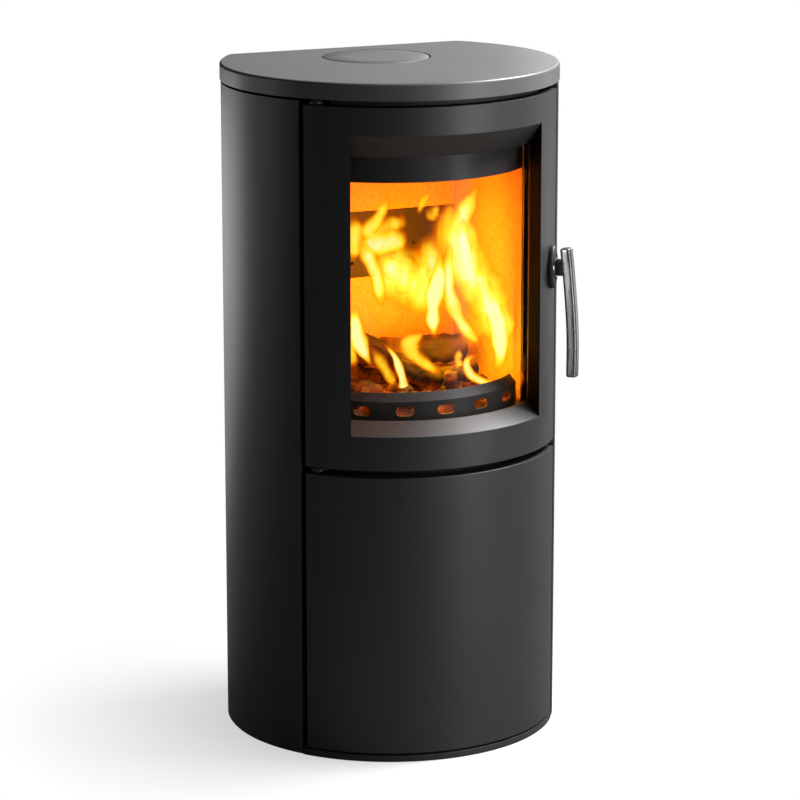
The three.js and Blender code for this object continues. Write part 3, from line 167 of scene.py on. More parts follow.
def casing_plan(radius, back, corner):
    side = casing_side(radius, back, corner, 0, count=PLAN_STEPS)
    return side + mirrored(side)[:-1]


def circle(radius, x, y, count):
    turns = [2 * math.pi * i / count for i in range(count)]
    return [(x + radius * math.cos(t), y + radius * math.sin(t)) for t in turns]


def at_height(outline, z):
    return [(x, y, z) for x, y in outline]


def signed_power(value, power):
    return math.copysign(abs(value) ** power, value)


def curve_point(line, share):
    """A point and the direction on a smooth line through the given points."""
    at = share * (len(line) - 1)
    i = min(int(at), len(line) - 2)
    t = at - i
    b, c = Vector(line[i]), Vector(line[i + 1])
    a = Vector(line[i - 1]) if i > 0 else 2 * b - c
    d = Vector(line[i + 2]) if i < len(line) - 2 else 2 * c - b
    slope = c - a
    bend = 2 * a - 5 * b + 4 * c - d
    twist = 3 * b - a - 3 * c + d
    point = 0.5 * (2 * b + slope * t + bend * t**2 + twist * t**3)
    way = 0.5 * (slope + 2 * bend * t + 3 * twist * t**2)
    return point, way.normalized()


# ------------ meshes
def link_rings(bm, rings, closed=False):
    """Joins rings of equal length, one after the other, with four-sided faces."""
    count = len(rings[0])
    pairs = list(zip(rings, rings[1:])) + ([(rings[-1], rings[0])] if closed else [])
    for lower, upper in pairs:
        for i in range(count):
            j = (i + 1) % count
            bm.faces.new((lower[i], lower[j], upper[j], upper[i]))


def link_rows(bm, rows):
    """Joins open rows of equal length, one after the other, with four-sided faces."""
    for low, high in zip(rows, rows[1:]):
        for i in range(len(low) - 1):
            bm.faces.new((low[i], low[i + 1], high[i + 1], high[i]))


def link_solid(bm, rings):
    """Joins rings and closes the first and the last of them."""
    link_rings(bm, rings)
    bm.faces.new(rings[0])
    bm.faces.new(rings[-1])


def add_ring(bm, points):
    return [bm.verts.new(Vector(p) * MM) for p in points]


def fill_between(bm, *loops):
    """Fills the flat area between an outer loop and the holes in it."""
    edges = []
    for loop in loops:
        for a, b in zip(loop, loop[1:] + loop[:1]):
            edges.append(bm.edges.get((a, b)) or bm.edges.new((a, b)))
    bmesh.ops.triangle_fill(bm, use_beauty=True, use_dissolve=False, edges=edges)


def finished_mesh(bm, name):
    bmesh.ops.remove_doubles(bm, verts=bm.verts, dist=WELD)
    bmesh.ops.recalc_face_normals(bm, faces=bm.faces)
    mesh = bpy.data.meshes.new(name)
    bm.to_mesh(mesh)
    bm.free()
    return mesh


def prism_into(bm, outline, z0, z1):
    link_solid(bm, [add_ring(bm, at_height(outline, z)) for z in (z0, z1)])


def lathe_into(bm, profile, place, count):
    """Turns (radius, height) pairs about an axis. place puts (x, y, height) into the stove's frame."""
    rings = []
    for radius, height in profile:
        if radius == 0:
            rings.append([bm.verts.new(Vector(place(0, 0, height)) * MM)])
        else:
            rings.append(add_ring(bm, [place(x, y, height) for x, y in circle(radius, 0, 0, count)]))
    for lower, upper in zip(rings, rings[1:]):
        if len(lower) == len(upper):
            link_rings(bm, [lower, upper])
        else:
            tip, ring = (lower[0], upper) if len(lower) == 1 else (upper[0], lower)
            for i in range(count):
                bm.faces.new((tip, ring[i], ring[(i + 1) % count]))


def tube_into(bm, inner, outer, low, high, place, count):
    profile = [(inner, low), (outer, low), (outer, high), (inner, high), (inner, low)]
    lathe_into(bm, profile, place, count)


def curved_loop(radius, half_deg, z0, z1):
    """A four-sided loop on a cylinder round the casing's axis."""
    turns = [2 * half_deg * i / LOOP_ACROSS for i in range(LOOP_ACROSS)]
    rises = [(z1 - z0) * i / LOOP_UP for i in range(LOOP_UP)]
    top = [(*polar(radius, turn - half_deg), z1) for turn in turns]
    right = [(*polar(radius, half_deg), z1 - rise) for rise in rises]
    bottom = [(*polar(radius, half_deg - turn), z0) for turn in turns]
    left = [(*polar(radius, -half_deg), z0 + rise) for rise in rises]
    return top + right + bottom + left


def curved_face(bm, radius, half_deg, z0, z1):
    """The part of a cylinder inside such a loop."""
    rows = []
    for j in range(LOOP_UP + 1):
        z = z0 + (z1 - z0) * j / LOOP_UP
        degs = [-half_deg + 2 * half_deg * i / LOOP_ACROSS for i in range(LOOP_ACROSS + 1)]
        rows.append(add_ring(bm, [(*polar(radius, deg), z) for deg in degs]))
    link_rows(bm, rows)


# ------------ node trees
NOISE_LOW, NOISE_HIGH = 0.3, 0.7  # most of a noise's values lie between these
WHITE = (1.0, 1.0, 1.0)
HEAT_MAP = "heat"  # the UV map whose first coordinate is a flame's heat


class Finish:
    """A Principled material and short calls for the nodes that feed it."""

    def __init__(self, name, **values):
        self.material = bpy.data.materials.new(name)
        self.material.use_nodes = True
        self.tree = self.material.node_tree
        self.tree.nodes.clear()
        out = self.node("OutputMaterial")
        self.shader = self.node("BsdfPrincipled")
        self.link(self.shader.outputs["BSDF"], out.inputs["Surface"])
        self.place = self.node("TexCoord").outputs["Object"]
        for socket, value in values.items():
            self.shader.inputs[socket.replace("_", " ")].default_value = value

    def node(self, kind, **settings):
        made = self.tree.nodes.new("ShaderNode" + kind)
        for name, value in settings.items():
            setattr(made, name, value)
        return made

    def link(self, source, target):
        self.tree.links.new(source, target)

    def feed(self, socket, source):
        self.link(source, self.shader.inputs[socket])

    def stretched(self, scale):
        mapping = self.node("Mapping")
        mapping.inputs["Scale"].default_value = scale
        self.link(self.place, mapping.inputs["Vector"])
        return mapping.outputs["Vector"]

    def noise(self, scale, detail=3.0, distortion=0.0, vector=None):
        made = self.node("TexNoise")
        made.inputs["Scale"].default_value = scale
        made.inputs["Detail"].default_value = detail
        made.inputs["Distortion"].default_value = distortion
        self.link(vector or self.place, made.inputs["Vector"])
        return made.outputs["Fac"]

    def cells(self, scale, feature="F1", output="Distance", vector=None):
        made = self.node("TexVoronoi", feature=feature)
        made.inputs["Scale"].default_value = scale
        self.link(vector or self.place, made.inputs["Vector"])
        return made.outputs[output]

    def ramp(self, source, *stops):
        made = self.node("ValToRGB")
        elements = made.color_ramp.elements
        while len(elements) < len(stops):
            elements.new(0.5)
        for element, (position, color) in zip(elements, stops):
            element.position = position
            element.color = (*color, 1)
        self.link(source, made.inputs["Fac"])
        return made.outputs["Color"]

    def tinted(self, source, dark, light):
        return self.ramp(source, (NOISE_LOW, dark), (NOISE_HIGH, light))

    def scaled(self, source, low, high, start=NOISE_LOW, end=NOISE_HIGH):
        made = self.node("MapRange")
        made.inputs["From Min"].default_value = start
        made.inputs["From Max"].default_value = end
        made.inputs["To Min"].default_value = low
        made.inputs["To Max"].default_value = high
        self.link(source, made.inputs["Value"])
        return made.outputs["Result"]

    def height(self):
        split = self.node("SeparateXYZ")
        self.link(self.place, split.inputs["Vector"])
        return split.outputs["Z"]

    def mixed(self, blend, factor, first, second):
        made = self.node("Mix", data_type="RGBA", blend_type=blend)
        made.inputs["Factor"].default_value = factor
        self.link(first, made.inputs["A"])
        self.link(second, made.inputs["B"])
        return made.outputs["Result"]

    def multiplied(self, color, shade):
        return self.mixed("MULTIPLY", 1.0, color, shade)

    def bump(self, source, strength, distance):
        made = self.node("Bump")
        made.inputs["Strength"].default_value = strength
        made.inputs["Distance"].default_value = distance
        self.link(source, made.inputs["Height"])
        self.feed("Normal", made.outputs["Normal"])


def paint(name, dark, light, roughness, grain=1400, relief=0.12, **values):
    """Heat-resistant stove paint: faint clouds in the colour and a fine grain in the surface."""
    made = Finish(name, **values)
    clouds = made.noise(7, detail=4)
    fine = made.noise(grain, detail=2)
    made.feed("Base Color", made.tinted(clouds, dark, light))
    made.feed("Roughness", made.scaled(fine, roughness - 0.05, roughness + 0.05))
    made.bump(fine, relief, 0.0002)
    return made.material


def brushed(name, dark, light, roughness, relief=0.1):
    """Steel with a fine upright grain."""
    made = Finish(name, Metallic=1.0)
    grain = made.noise(320, detail=3, vector=made.stretched((1, 1, 0.08)))
    made.feed("Base Color", made.tinted(grain, dark, light))
    made.feed("Roughness", made.scaled(grain, roughness - 0.06, roughness + 0.08))
    made.bump(grain, relief, 0.0001)
    return made.material


def cast_iron(name):
    """Rough black iron, dusted with ash in places."""
    made = Finish(name, Metallic=0.35)
    pits = made.noise(620, detail=4)
    dust = made.noise(26, detail=5)
    iron = made.tinted(pits, (0.012, 0.012, 0.0125), (0.03, 0.03, 0.031))
    ash = made.ramp(dust, (0.52, (0.0, 0.0, 0.0)), (0.75, (0.03, 0.028, 0.026)))
    made.feed("Base Color", made.mixed("ADD", 0.8, iron, ash))
    made.feed("Roughness", made.scaled(pits, 0.5, 0.75))
    made.bump(pits, 0.35, 0.0004)
    return made.material


def firebrick(name):
    """Pressed vermiculite board: pale flakes, small dark pits and a film of soot on its upper part."""
    made = Finish(name)
    flakes = made.cells(260, output="Color")
    speckle = made.noise(420, detail=4)
    pits = made.cells(85)
    board = made.ramp(
        speckle,
        (0.3, (0.44, 0.27, 0.12)),
        (0.55, (0.64, 0.42, 0.2)),
        (0.75, (0.74, 0.52, 0.29)),
    )
    grey = made.ramp(flakes, (0.0, (0.75, 0.75, 0.75)), (1.0, WHITE))
    spots = made.ramp(pits, (0.03, (0.25, 0.18, 0.12)), (0.08, WHITE))
    soot = made.ramp(made.height(), (0.7, WHITE), (0.86, (0.7, 0.66, 0.62)))
    pitted = made.multiplied(made.multiplied(board, grey), spots)
    made.feed("Base Color", made.multiplied(pitted, soot))
    made.feed("Roughness", made.scaled(speckle, 0.85, 1.0))
    made.bump(speckle, 0.4, 0.0008)
    return made.material


def rope(name):
    """Braided glass-fibre rope: slanting strands."""
    made = Finish(name)
    wave = made.node("TexWave", wave_type="BANDS", bands_direction="DIAGONAL")
    wave.inputs["Scale"].default_value = 260
    wave.inputs["Distortion"].default_value = 1.5
    made.link(made.place, wave.inputs["Vector"])
    strands = wave.outputs["Fac"]
    made.feed("Base Color", made.ramp(strands, (0.2, (0.03, 0.03, 0.03)), (0.8, (0.13, 0.13, 0.12))))
    made.feed("Roughness", made.scaled(made.noise(500), 0.85, 1.0))
    made.bump(strands, 0.6, 0.0006)
    return made.material


def glass(name):
    """Clear ceramic glass with a faint, cloudy film of soot."""
    made = Finish(name, Alpha=0.05)
    film = made.noise(9, detail=5)
    made.feed("Base Color", made.ramp(film, (0.35, (0.02, 0.012, 0.006)), (0.75, (0.07, 0.04, 0.02))))
    made.feed("Roughness", made.scaled(film, 0.12, 0.24))
    return made.material


def charred_wood(name):
    """Burnt wood with fine dark cracks, glowing red in patches."""
    made = Finish(name, Emission_Strength=1.0)
    blocks = made.cells(70, feature="DISTANCE_TO_EDGE", vector=made.stretched((0.6, 1, 1)))
    grain = made.noise(300, detail=5)
    heat = made.noise(20, detail=4, distortion=0.6)
    made.feed("Base Color", made.tinted(grain, (0.003, 0.002, 0.0015), (0.014, 0.007, 0.004)))
    made.feed("Roughness", made.scaled(grain, 0.7, 1.0))
    glow = made.ramp(
        heat,
        (0.42, (0.006, 0.0005, 0.0)),
        (0.56, (0.12, 0.009, 0.0)),
        (0.72, (0.5, 0.06, 0.003)),
    )
    cracks = made.ramp(blocks, (0.0, (0.15, 0.1, 0.1)), (0.035, WHITE))
    made.feed("Emission Color", made.multiplied(glow, cracks))
    made.bump(blocks, 0.9, 0.003)
    return made.material


def embers(name):
    """Embers under ash: they glow in patches, with dark seams between the lumps."""
    made = Finish(name, Emission_Strength=1.0)
    lumps = made.cells(90, feature="DISTANCE_TO_EDGE")
    heat = made.noise(26, detail=4)
    ash = made.noise(240, detail=4)
    made.feed("Base Color", made.ramp(ash, (0.35, (0.004, 0.0025, 0.002)), (0.7, (0.03, 0.018, 0.012))))
    made.feed("Roughness", made.scaled(ash, 0.8, 1.0))
    glow = made.ramp(
        heat,
        (0.42, (0.015, 0.0008, 0.0)),
        (0.56, (0.16, 0.012, 0.0)),
        (0.7, (0.8, 0.13, 0.006)),
    )
    seams = made.ramp(lumps, (0.0, (0.1, 0.05, 0.05)), (0.06, WHITE))
    made.feed("Emission Color", made.multiplied(glow, seams))
    made.bump(lumps, 0.6, 0.003)
    return made.material


def flame(name):
    """Flames, drawn from the heat in their UV map: clear at no heat, then orange to pale yellow."""
    dark = {"Base_Color": (0, 0, 0, 1), "Roughness": 1.0, "Specular_IOR_Level": 0.0}
    made = Finish(name, **dark, Emission_Strength=1.65)
    stored = made.node("SeparateXYZ")
    made.link(made.node("UVMap", uv_map=HEAT_MAP).outputs["UV"], stored.inputs["Vector"])
    flicker = made.noise(26, detail=4, distortion=0.8, vector=made.stretched((1, 1, 0.35)))
    uneven = made.node("Math", operation="MULTIPLY_ADD")
    made.link(stored.outputs["X"], uneven.inputs[0])
    made.link(made.scaled(flicker, 0.45, 1.0), uneven.inputs[1])
    uneven.inputs[2].default_value = -0.03
    heat = uneven.outputs["Value"]
    glow = made.ramp(
        heat,
        (0.0, (1.0, 0.04, 0.0)),
        (0.25, (1.0, 0.19, 0.0)),
        (0.46, (1.0, 0.48, 0.005)),
        (0.7, (1.0, 0.8, 0.05)),
        (0.95, (1.0, 0.96, 0.4)),
    )
    made.feed("Emission Color", glow)
    veil = made.scaled(heat, 0.0, 0.66, start=0.0, end=0.6)
    veil.node.interpolation_type = "SMOOTHSTEP"
    made.feed("Alpha", veil)
    return made.material


CASE = paint("case_paint", (0.024, 0.0247, 0.026), (0.029, 0.0298, 0.031), 0.46)
TOP = paint("top_plate_paint", (0.085, 0.086, 0.084), (0.1, 0.101, 0.099), 0.42)
INNER = paint("inner_paint", (0.014, 0.014, 0.0145), (0.022, 0.022, 0.022), 0.6, grain=900, relief=0.2)
# A darker, matt copy of the door's paint for the window's side walls: painted shade standing in for the
# shade in the recess round the glass.
REVEAL_SHADE = paint(
    "window_reveal_paint", (0.01, 0.01, 0.0105), (0.014, 0.014, 0.0145), 0.8, Specular_IOR_Level=0.1
)
IRON = cast_iron("cast_iron")
STEEL = brushed("bare_steel", (0.34, 0.34, 0.35), (0.5, 0.5, 0.51), 0.34)
GRIP = brushed("handle_paint", (0.19, 0.19, 0.195), (0.24, 0.24, 0.245), 0.28, relief=0.015)
BRICK = firebrick("firebrick")
GLASS = glass("ceramic_glass")
ROPE = rope("rope_seal")
CHAR = charred_wood("charred_wood")
EMBER = embers("embers")
FLAME = flame("flame")

FINISHES = {
    "case_paint": CASE,
    "inner_paint": INNER,
    "cast_iron": IRON,
    "bare_steel": STEEL,
    "handle_paint": GRIP,
    "firebrick": BRICK,
    "ceramic_glass": GLASS,
    "rope_seal": ROPE,
}
# How the names start of the small steel nodes that don't show bright in the photo.
DARKENED = ("glass_clamp", "hinge_pin")
for node, solid in frame["nodes"].items():
    solid.data.materials.clear()
    solid.data.materials.append(INNER if node.startswith(DARKENED) else FINISHES[SLOT_OF[node]])


# ------------ pieces
def add_object(name, mesh, material, bevel=0.0):
    for polygon in mesh.polygons:
        polygon.use_smooth = True
    mesh.materials.clear()
    mesh.materials.append(material)
    made = bpy.data.objects.new(name, mesh)
    bpy.context.scene.collection.objects.link(made)
    if bevel:
        edges = made.modifiers.new("rounded_edges", "BEVEL")
        edges.width = bevel * MM
        edges.segments = 2
        edges.limit_method = "ANGLE"
        edges.angle_limit = SHARP
        shading = made.modifiers.new("flat_faces", "WEIGHTED_NORMAL")
        shading.keep_sharp = True
    return made


def add_piece(name, bm, nodes, bevel=0.8, material=None):
    """A piece that stands for CAD nodes, which it hides: it rides on their body and wears the finish of
    their material slot unless another material is given.
    """
    slot = SLOT_OF[nodes[0]]
    made = add_object(name, finished_mesh(bm, name), material or FINISHES[slot], bevel)
    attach(made, BODY_OF[nodes[0]])
    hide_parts(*nodes)
    return made


def add_refined(node, bevel):
    """A CAD node with its edges rounded and its curves shaded smooth."""
    bm = bmesh.new()
    bm.from_mesh(frame["nodes"][node].data)
    bmesh.ops.remove_doubles(bm, verts=bm.verts, dist=WELD)
    bmesh.ops.dissolve_limit(bm, angle_limit=FLAT, verts=bm.verts, edges=bm.edges)
    return add_piece(node + "_finished", bm, [node], bevel)


def standing_at(x, y):
    """Places what a lathe turns on an upright axis."""
    return lambda px, py, height: (x + px, y + py, height)


def on_handle(side, up, out):
    """A point beside, above and out along the line that the handle's shaft lies on."""
    x, y = polar(out, HANDLE_DEG)
    along = math.radians(HANDLE_DEG)
    return (x + side * math.cos(along), y + side * math.sin(along), HANDLE_Z + up)


def top_plate():
    """The hollow plate, its upper edge rounded over, with the stepped recess for the flue cover."""
    levels = [(0, TOP_UNDER)]
    for i in range(ARRIS_STEPS + 1):
        turn = math.radians(90 * i / ARRIS_STEPS)
        levels.append((TOP_ARRIS * (1 - math.cos(turn)), STOVE_HEIGHT - TOP_ARRIS * (1 - math.sin(turn))))
    bm = bmesh.new()
    outer = []
    for inset, z in levels:
        outline = casing_plan(TOP_RADIUS - inset, TOP_BACK - inset, TOP_CORNER - inset)
        outer.append(add_ring(bm, at_height(outline, z)))
    pocket_plan = casing_plan(TOP_RADIUS - TOP_RIM, TOP_BACK - TOP_RIM, TOP_CORNER)
    pocket = [add_ring(bm, at_height(pocket_plan, z)) for z in (TOP_UNDER, TOP_CEILING)]
    link_rings(bm, outer)
    link_rings(bm, [outer[0], *pocket])
    recess = [
        (RECESS_RADIUS, STOVE_HEIGHT),
        (RECESS_RADIUS, RECESS_FLOOR),
        (LEDGE_INNER, RECESS_FLOOR),
        (LEDGE_INNER, LEDGE_UNDER),
        (LEDGE_OUTER, LEDGE_UNDER),
        (LEDGE_OUTER, TOP_CEILING),
    ]
    rings = [add_ring(bm, at_height(circle(r, 0, FLUE_Y, COVER_SIDES), z)) for r, z in recess]
    link_rings(bm, rings)
    fill_between(bm, outer[-1], rings[0])
    fill_between(bm, pocket[-1], rings[-1])
    return bm


def flue_cover():
    bm = bmesh.new()
    edge = COVER_RADIUS - COVER_TRIM
    profile = [
        (0, COVER_UNDER),
        (edge, COVER_UNDER),
        (edge, STOVE_HEIGHT - COVER_ARRIS),
        (edge - COVER_ARRIS, STOVE_HEIGHT),
        (COVER_RADIUS / 2, STOVE_HEIGHT),
        (0, STOVE_HEIGHT),
    ]
    lathe_into(bm, profile, standing_at(0, FLUE_Y), COVER_SIDES)
    return bm


def side_panel(sign):
    """The bent sheet on the right, or on the left where sign is negative, with its turned-in front lip."""
    bm = bmesh.new()
    outer = casing_side(CASE_RADIUS, CASE_BACK, CASE_CORNER, PANEL_EDGE_DEG)
    inner = casing_side(CASE_RADIUS - SHEET, CASE_BACK - SHEET, CASE_CORNER - SHEET, PANEL_EDGE_DEG)
    flange = outer[-1][0] - PANEL_FLANGE
    skin = outer + [(flange, CASE_BACK), (flange, CASE_BACK - SHEET)] + inner[::-1]
    lip_deg = PANEL_EDGE_DEG + math.degrees(SHEET / CASE_RADIUS)
    lip = [polar(LIP_INNER, PANEL_EDGE_DEG), polar(LIP_OUTER, PANEL_EDGE_DEG)]
    lip += [polar(LIP_OUTER, lip_deg), polar(LIP_INNER, lip_deg)]
    for outline, z0 in ((skin, PANEL_BOTTOM), (lip, LIP_BOTTOM)):
        prism_into(bm, outline if sign > 0 else mirrored(outline), z0, PANEL_TOP)
    return bm


def base_plate():
    bm = bmesh.new()
    front = arc(BASE_RADIUS, -BASE_HALF_DEG, BASE_HALF_DEG)
    side = casing_side(BASE_SIDE_RADIUS, BASE_BACK, BASE_CORNER, BASE_HALF_DEG)
    prism_into(bm, front + side + mirrored(side), 0, BASE_THICK)
    return bm


def window_loop(radius):
    """The edge of the window's opening at some depth of the door: the head and the sill are splayed."""
    share = (radius - BACKING_INNER) / (CASE_RADIUS - BACKING_INNER)
    half = math.degrees(math.asin(WINDOW_HALF / radius))
    z0, z1 = (rear + (face - rear) * share for rear, face in zip(WINDOW_REAR_Z, WINDOW_FRONT_Z))
    return (radius, half, z0, z1)


def around_window(radius, half_deg):
    """The outside of the walls round the window's opening at some depth of the door."""
    z0, z1 = window_loop(radius)[2:]
    return (radius, half_deg, z0 - WINDOW_WALL, z1 + WINDOW_WALL)


def between(first, last, count):
    """Evenly spaced loops from first, which is left out, to last."""
    return [[a + (b - a) * i / count for a, b in zip(first, last)] for i in range(1, count + 1)]


def fire_door():
    """One closed skin: face, rim, back, walls round the window, backing plate and window reveals."""
    z0, z1 = FIRE_DOOR_Z
    edge = (DOOR_HALF_DEG, z0, z1)
    rim = (RIM_INNER_DEG, z0 + DOOR_RIM, z1 - DOOR_RIM)
    front = window_loop(CASE_RADIUS)
    tunnel_end = around_window(BACKING_OUTER, WALL_BACKING_DEG)
    backing = (BACKING_DEG, *BACKING_Z)
    depth = CASE_RADIUS - BACKING_INNER
    loops = [front]
    loops += between(front, (CASE_RADIUS, *edge), count=10)
    loops += [(RIM_RADIUS, *edge), (RIM_RADIUS, *rim), (DOOR_INNER, *rim)]
    loops += between((DOOR_INNER, *rim), around_window(DOOR_INNER, WALL_SKIN_DEG), count=8)
    loops += [tunnel_end]
    loops += between(tunnel_end, (BACKING_OUTER, *backing), count=4)
    loops += [(BACKING_INNER, *backing)]
    loops += between((BACKING_INNER, *backing), window_loop(BACKING_INNER), count=4)
    loops += [window_loop(BACKING_INNER + depth * i / REVEAL_STEPS) for i in range(1, REVEAL_STEPS)]
    bm = bmesh.new()
    link_rings(bm, [add_ring(bm, curved_loop(*loop)) for loop in loops], closed=True)
    return bm


def is_reveal(polygon):
    """Whether a face of the fire door lies on one of the side walls of its window's opening."""
    x, y, z = polygon.center / MM
    beside = abs(abs(x) - WINDOW_HALF) < 1
    within = BACKING_INNER + 1 < math.hypot(x, y) < CASE_RADIUS - 1
    level = abs(polygon.normal.z) >= 0.5
    return beside and within and not level and REVEAL_Z[0] < z < REVEAL_Z[1]


def lower_door():
    z0, z1 = LOWER_DOOR_Z
    skin = (CASE_RADIUS, DOOR_HALF_DEG, z0, z1)
    inside = (CASE_RADIUS - SHEET, LOWER_RIM_DEG, z0 + SHEET, z1 - SHEET)
    loops = [skin, (RIM_RADIUS, *skin[1:]), (RIM_RADIUS, *inside[1:]), inside]
    bm = bmesh.new()
    link_rings(bm, [add_ring(bm, curved_loop(*loop)) for loop in loops])
    curved_face(bm, *skin)
    curved_face(bm, *inside)
    return bm


def door_eyes(z0, z1, length):
    """The bored eyes at a door's foot and head that its hinge pins run in."""
    bm = bmesh.new()
    for low in (z0, z1 - length):
        axis = standing_at(*polar(HINGE_RADIUS, HINGE_DEG))
        tube_into(bm, EYE_BORE, EYE_RADIUS, low, low + length, axis, EYE_SIDES)
    return bm


def drill_for_shaft(made):
    """Drills the hole for the handle's shaft through a piece, before its edges are rounded."""
    bm = bmesh.new()
    radius = SHAFT_RADIUS + SHAFT_RUN
    start, end = DRILL_REACH
    lathe_into(bm, [(0, start), (radius, start), (radius, end), (0, end)], on_handle, DRILL_SIDES)
    drill = add_object("drill", finished_mesh(bm, "drill"), CASE)
    hole = made.modifiers.new("shaft_hole", "BOOLEAN")
    hole.operation = "DIFFERENCE"
    hole.solver = "EXACT"
    hole.object = drill
    for modifier in made.modifiers:
        modifier.show_viewport = modifier.type == "BOOLEAN"
    bpy.context.view_layer.update()
    evaluated = made.evaluated_get(bpy.context.evaluated_depsgraph_get())
    mesh = bpy.data.meshes.new_from_object(evaluated)
    made.modifiers.remove(hole)
    made.data = mesh
    for modifier in made.modifiers:
        modifier.show_viewport = True
    bpy.data.objects.remove(drill)


def glass_sheet():
    bm = bmesh.new()
    faces = [(radius, GLASS_HALF_DEG, *GLASS_Z) for radius in (GLASS_RADIUS, GLASS_RADIUS - GLASS_THICK)]
    link_rings(bm, [add_ring(bm, curved_loop(*face)) for face in faces])
    for face in faces:
        curved_face(bm, *face)
    return bm


def rosette():
    """The slightly pointed oval plate round the shaft, with its rim rounded over."""
    bm = bmesh.new()
    seat = CASE_RADIUS + CLEAR
    rings = []
    for share, rise in ROSETTE_RIM:
        ring = []
        for i in range(ROSETTE_SIDES):
            turn = 2 * math.pi * i / ROSETTE_SIDES
            side = ROSETTE_HALF_WIDTH * signed_power(math.cos(turn), ROSETTE_POINT)
            up = ROSETTE_HALF_HEIGHT * math.sin(turn)
            ring.append(on_handle(share * side, share * up, seat + rise))
        rings.append(add_ring(bm, ring))
    hole = circle(SHAFT_RADIUS + CLEAR, 0, 0, ROSETTE_SIDES)
    for rise in (ROSETTE_RIM[-1][1], 0):
        rings.append(add_ring(bm, [on_handle(x, y, seat + rise) for x, y in hole]))
    link_rings(bm, rings, closed=True)
    return bm


def handle_grip():
    """A bowed flat-faced bar with its corners rounded over and its ends a little domed."""
    bm = bmesh.new()
    length = sum((Vector(b) - Vector(a)).length for a, b in zip(GRIP_LINE, GRIP_LINE[1:]))
    domed = [GRIP_DOME * (1 - math.cos(math.radians(deg))) / length for deg in range(10, 91, 10)]
    straight = 1 - 2 * GRIP_DOME / length
    shares = domed + [GRIP_DOME / length + straight * i / GRIP_STEPS for i in range(1, GRIP_STEPS)]
    shares += [1 - share for share in reversed(domed)]
    rings = []
    for share in shares:
        centre, way = curve_point(GRIP_LINE, share)
        from_end = min(share, 1 - share) * length
        swell = math.sqrt(1 - max(0, 1 - from_end / GRIP_DOME) ** 2)
        size = GRIP_END_SIZE + (1 - GRIP_END_SIZE) * swell
        ring = []
        for i in range(HANDLE_SIDES):
            turn = 2 * math.pi * i / HANDLE_SIDES
            side = GRIP_HALF_WIDTH * size * signed_power(math.cos(turn), GRIP_ROUNDNESS)
            thick = GRIP_HALF_THICK * size * signed_power(math.sin(turn), GRIP_ROUNDNESS)
            point = centre + Vector((-way.y, way.x)) * thick
            ring.append(on_handle(side, point.y, point.x))
        rings.append(add_ring(bm, ring))
    link_solid(bm, rings)
    return bm


def handle_stub():
    """The round stub that carries the grip, bored for the shaft."""
    bm = bmesh.new()
    seat = STUB_SEAT + WASHER_THICK + CLEAR
    bore = SHAFT_RADIUS + CLEAR
    profile = [
        (bore, seat),
        (STUB_RADIUS - STUB_FOOT_CHAMFER, seat),
        (STUB_RADIUS, seat + STUB_FOOT_CHAMFER),
        (STUB_RADIUS, STUB_END - STUB_END_CHAMFER),
        (STUB_RADIUS - STUB_END_CHAMFER, STUB_END),
        (0, STUB_END),
    ]
    lathe_into(bm, profile, on_handle, HANDLE_SIDES)
    lathe_into(bm, [(bore, seat), (bore, STUB_BORE_END), (0, STUB_BORE_END)], on_handle, HANDLE_SIDES)
    return bm


def washer():
    bm = bmesh.new()
    top = STUB_SEAT + WASHER_THICK
    tube_into(bm, SHAFT_RADIUS + CLEAR, WASHER_RADIUS, STUB_SEAT, top, on_handle, HANDLE_SIDES)
    return bm


add_piece("top_plate_casting", top_plate(), ["top_plate"], bevel=0.5, material=TOP)
add_piece("flue_cover_disc", flue_cover(), ["flue_cover"], bevel=0, material=TOP)
add_piece("side_sheet_left", side_panel(-1), ["side_panel_left"], bevel=0.6)
add_piece("side_sheet_right", side_panel(1), ["side_panel_right"], bevel=0.6)
add_piece("base_disc", base_plate(), ["base_plate"])
door = add_piece("fire_door_casting", fire_door(), ["fire_door_frame"], bevel=1.1)
drill_for_shaft(door)
add_piece("lower_door_sheet", lower_door(), ["lower_door_panel"], bevel=0.9)
add_piece("glass_sheet", glass_sheet(), ["door_glass"], bevel=0.4)
add_piece("handle_rosette_plate", rosette(), ["handle_rosette"], bevel=0, material=CASE)
add_piece("handle_grip_bar", handle_grip(), ["handle_grip"], bevel=0)
add_piece("handle_washer_ring", washer(), ["handle_washer"], bevel=0.3)

for body, name, (z0, z1), length in (
    ("fire_door", "fire_door_eyes", FIRE_DOOR_Z, 40),
    ("lower_door", "lower_door_eyes", LOWER_DOOR_Z, 20),
):
    eyes = add_object(name, finished_mesh(door_eyes(z0, z1, length), name), CASE, bevel=0.4)
    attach(eyes, body)

stub = add_object("handle_stub", finished_mesh(handle_stub(), "handle_stub"), CASE)
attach(stub, "door_handle")

# The window's side walls take the darker, matt paint: painted shade for the recess.
door.data.materials.append(REVEAL_SHADE)
for polygon in door.data.polygons:
    if is_reveal(polygon):
        polygon.material_index = 1

METAL_NODES = (
    "front_frame", "air_wash_strip", "log_retainer", "rear_air_plate", "firebox_shell", "hearth_plate",
    "ash_pan", "top_rail", "hinge_bracket_top", "hinge_bracket_middle", "log_store_liner",
    "firebox_shelf", "magnet_catch", "latch_cam", "latch_strike", "air_knob", "air_damper",
    "flue_collar", "top_flue_blank", "back_panel_lower", "back_panel_upper", "rear_post_left",
    "rear_post_right", "air_box",
)
BRICKS_AND_GRATE = (
    "side_brick_left", "side_brick_right", "back_brick_lower", "back_brick_upper", "baffle_brick",
    "floor_brick_left", "floor_brick_right", "grate",
)
for node in METAL_NODES:
    add_refined(node, bevel=0.4)
for node in BRICKS_AND_GRATE:
    add_refined(node, bevel=1.5)


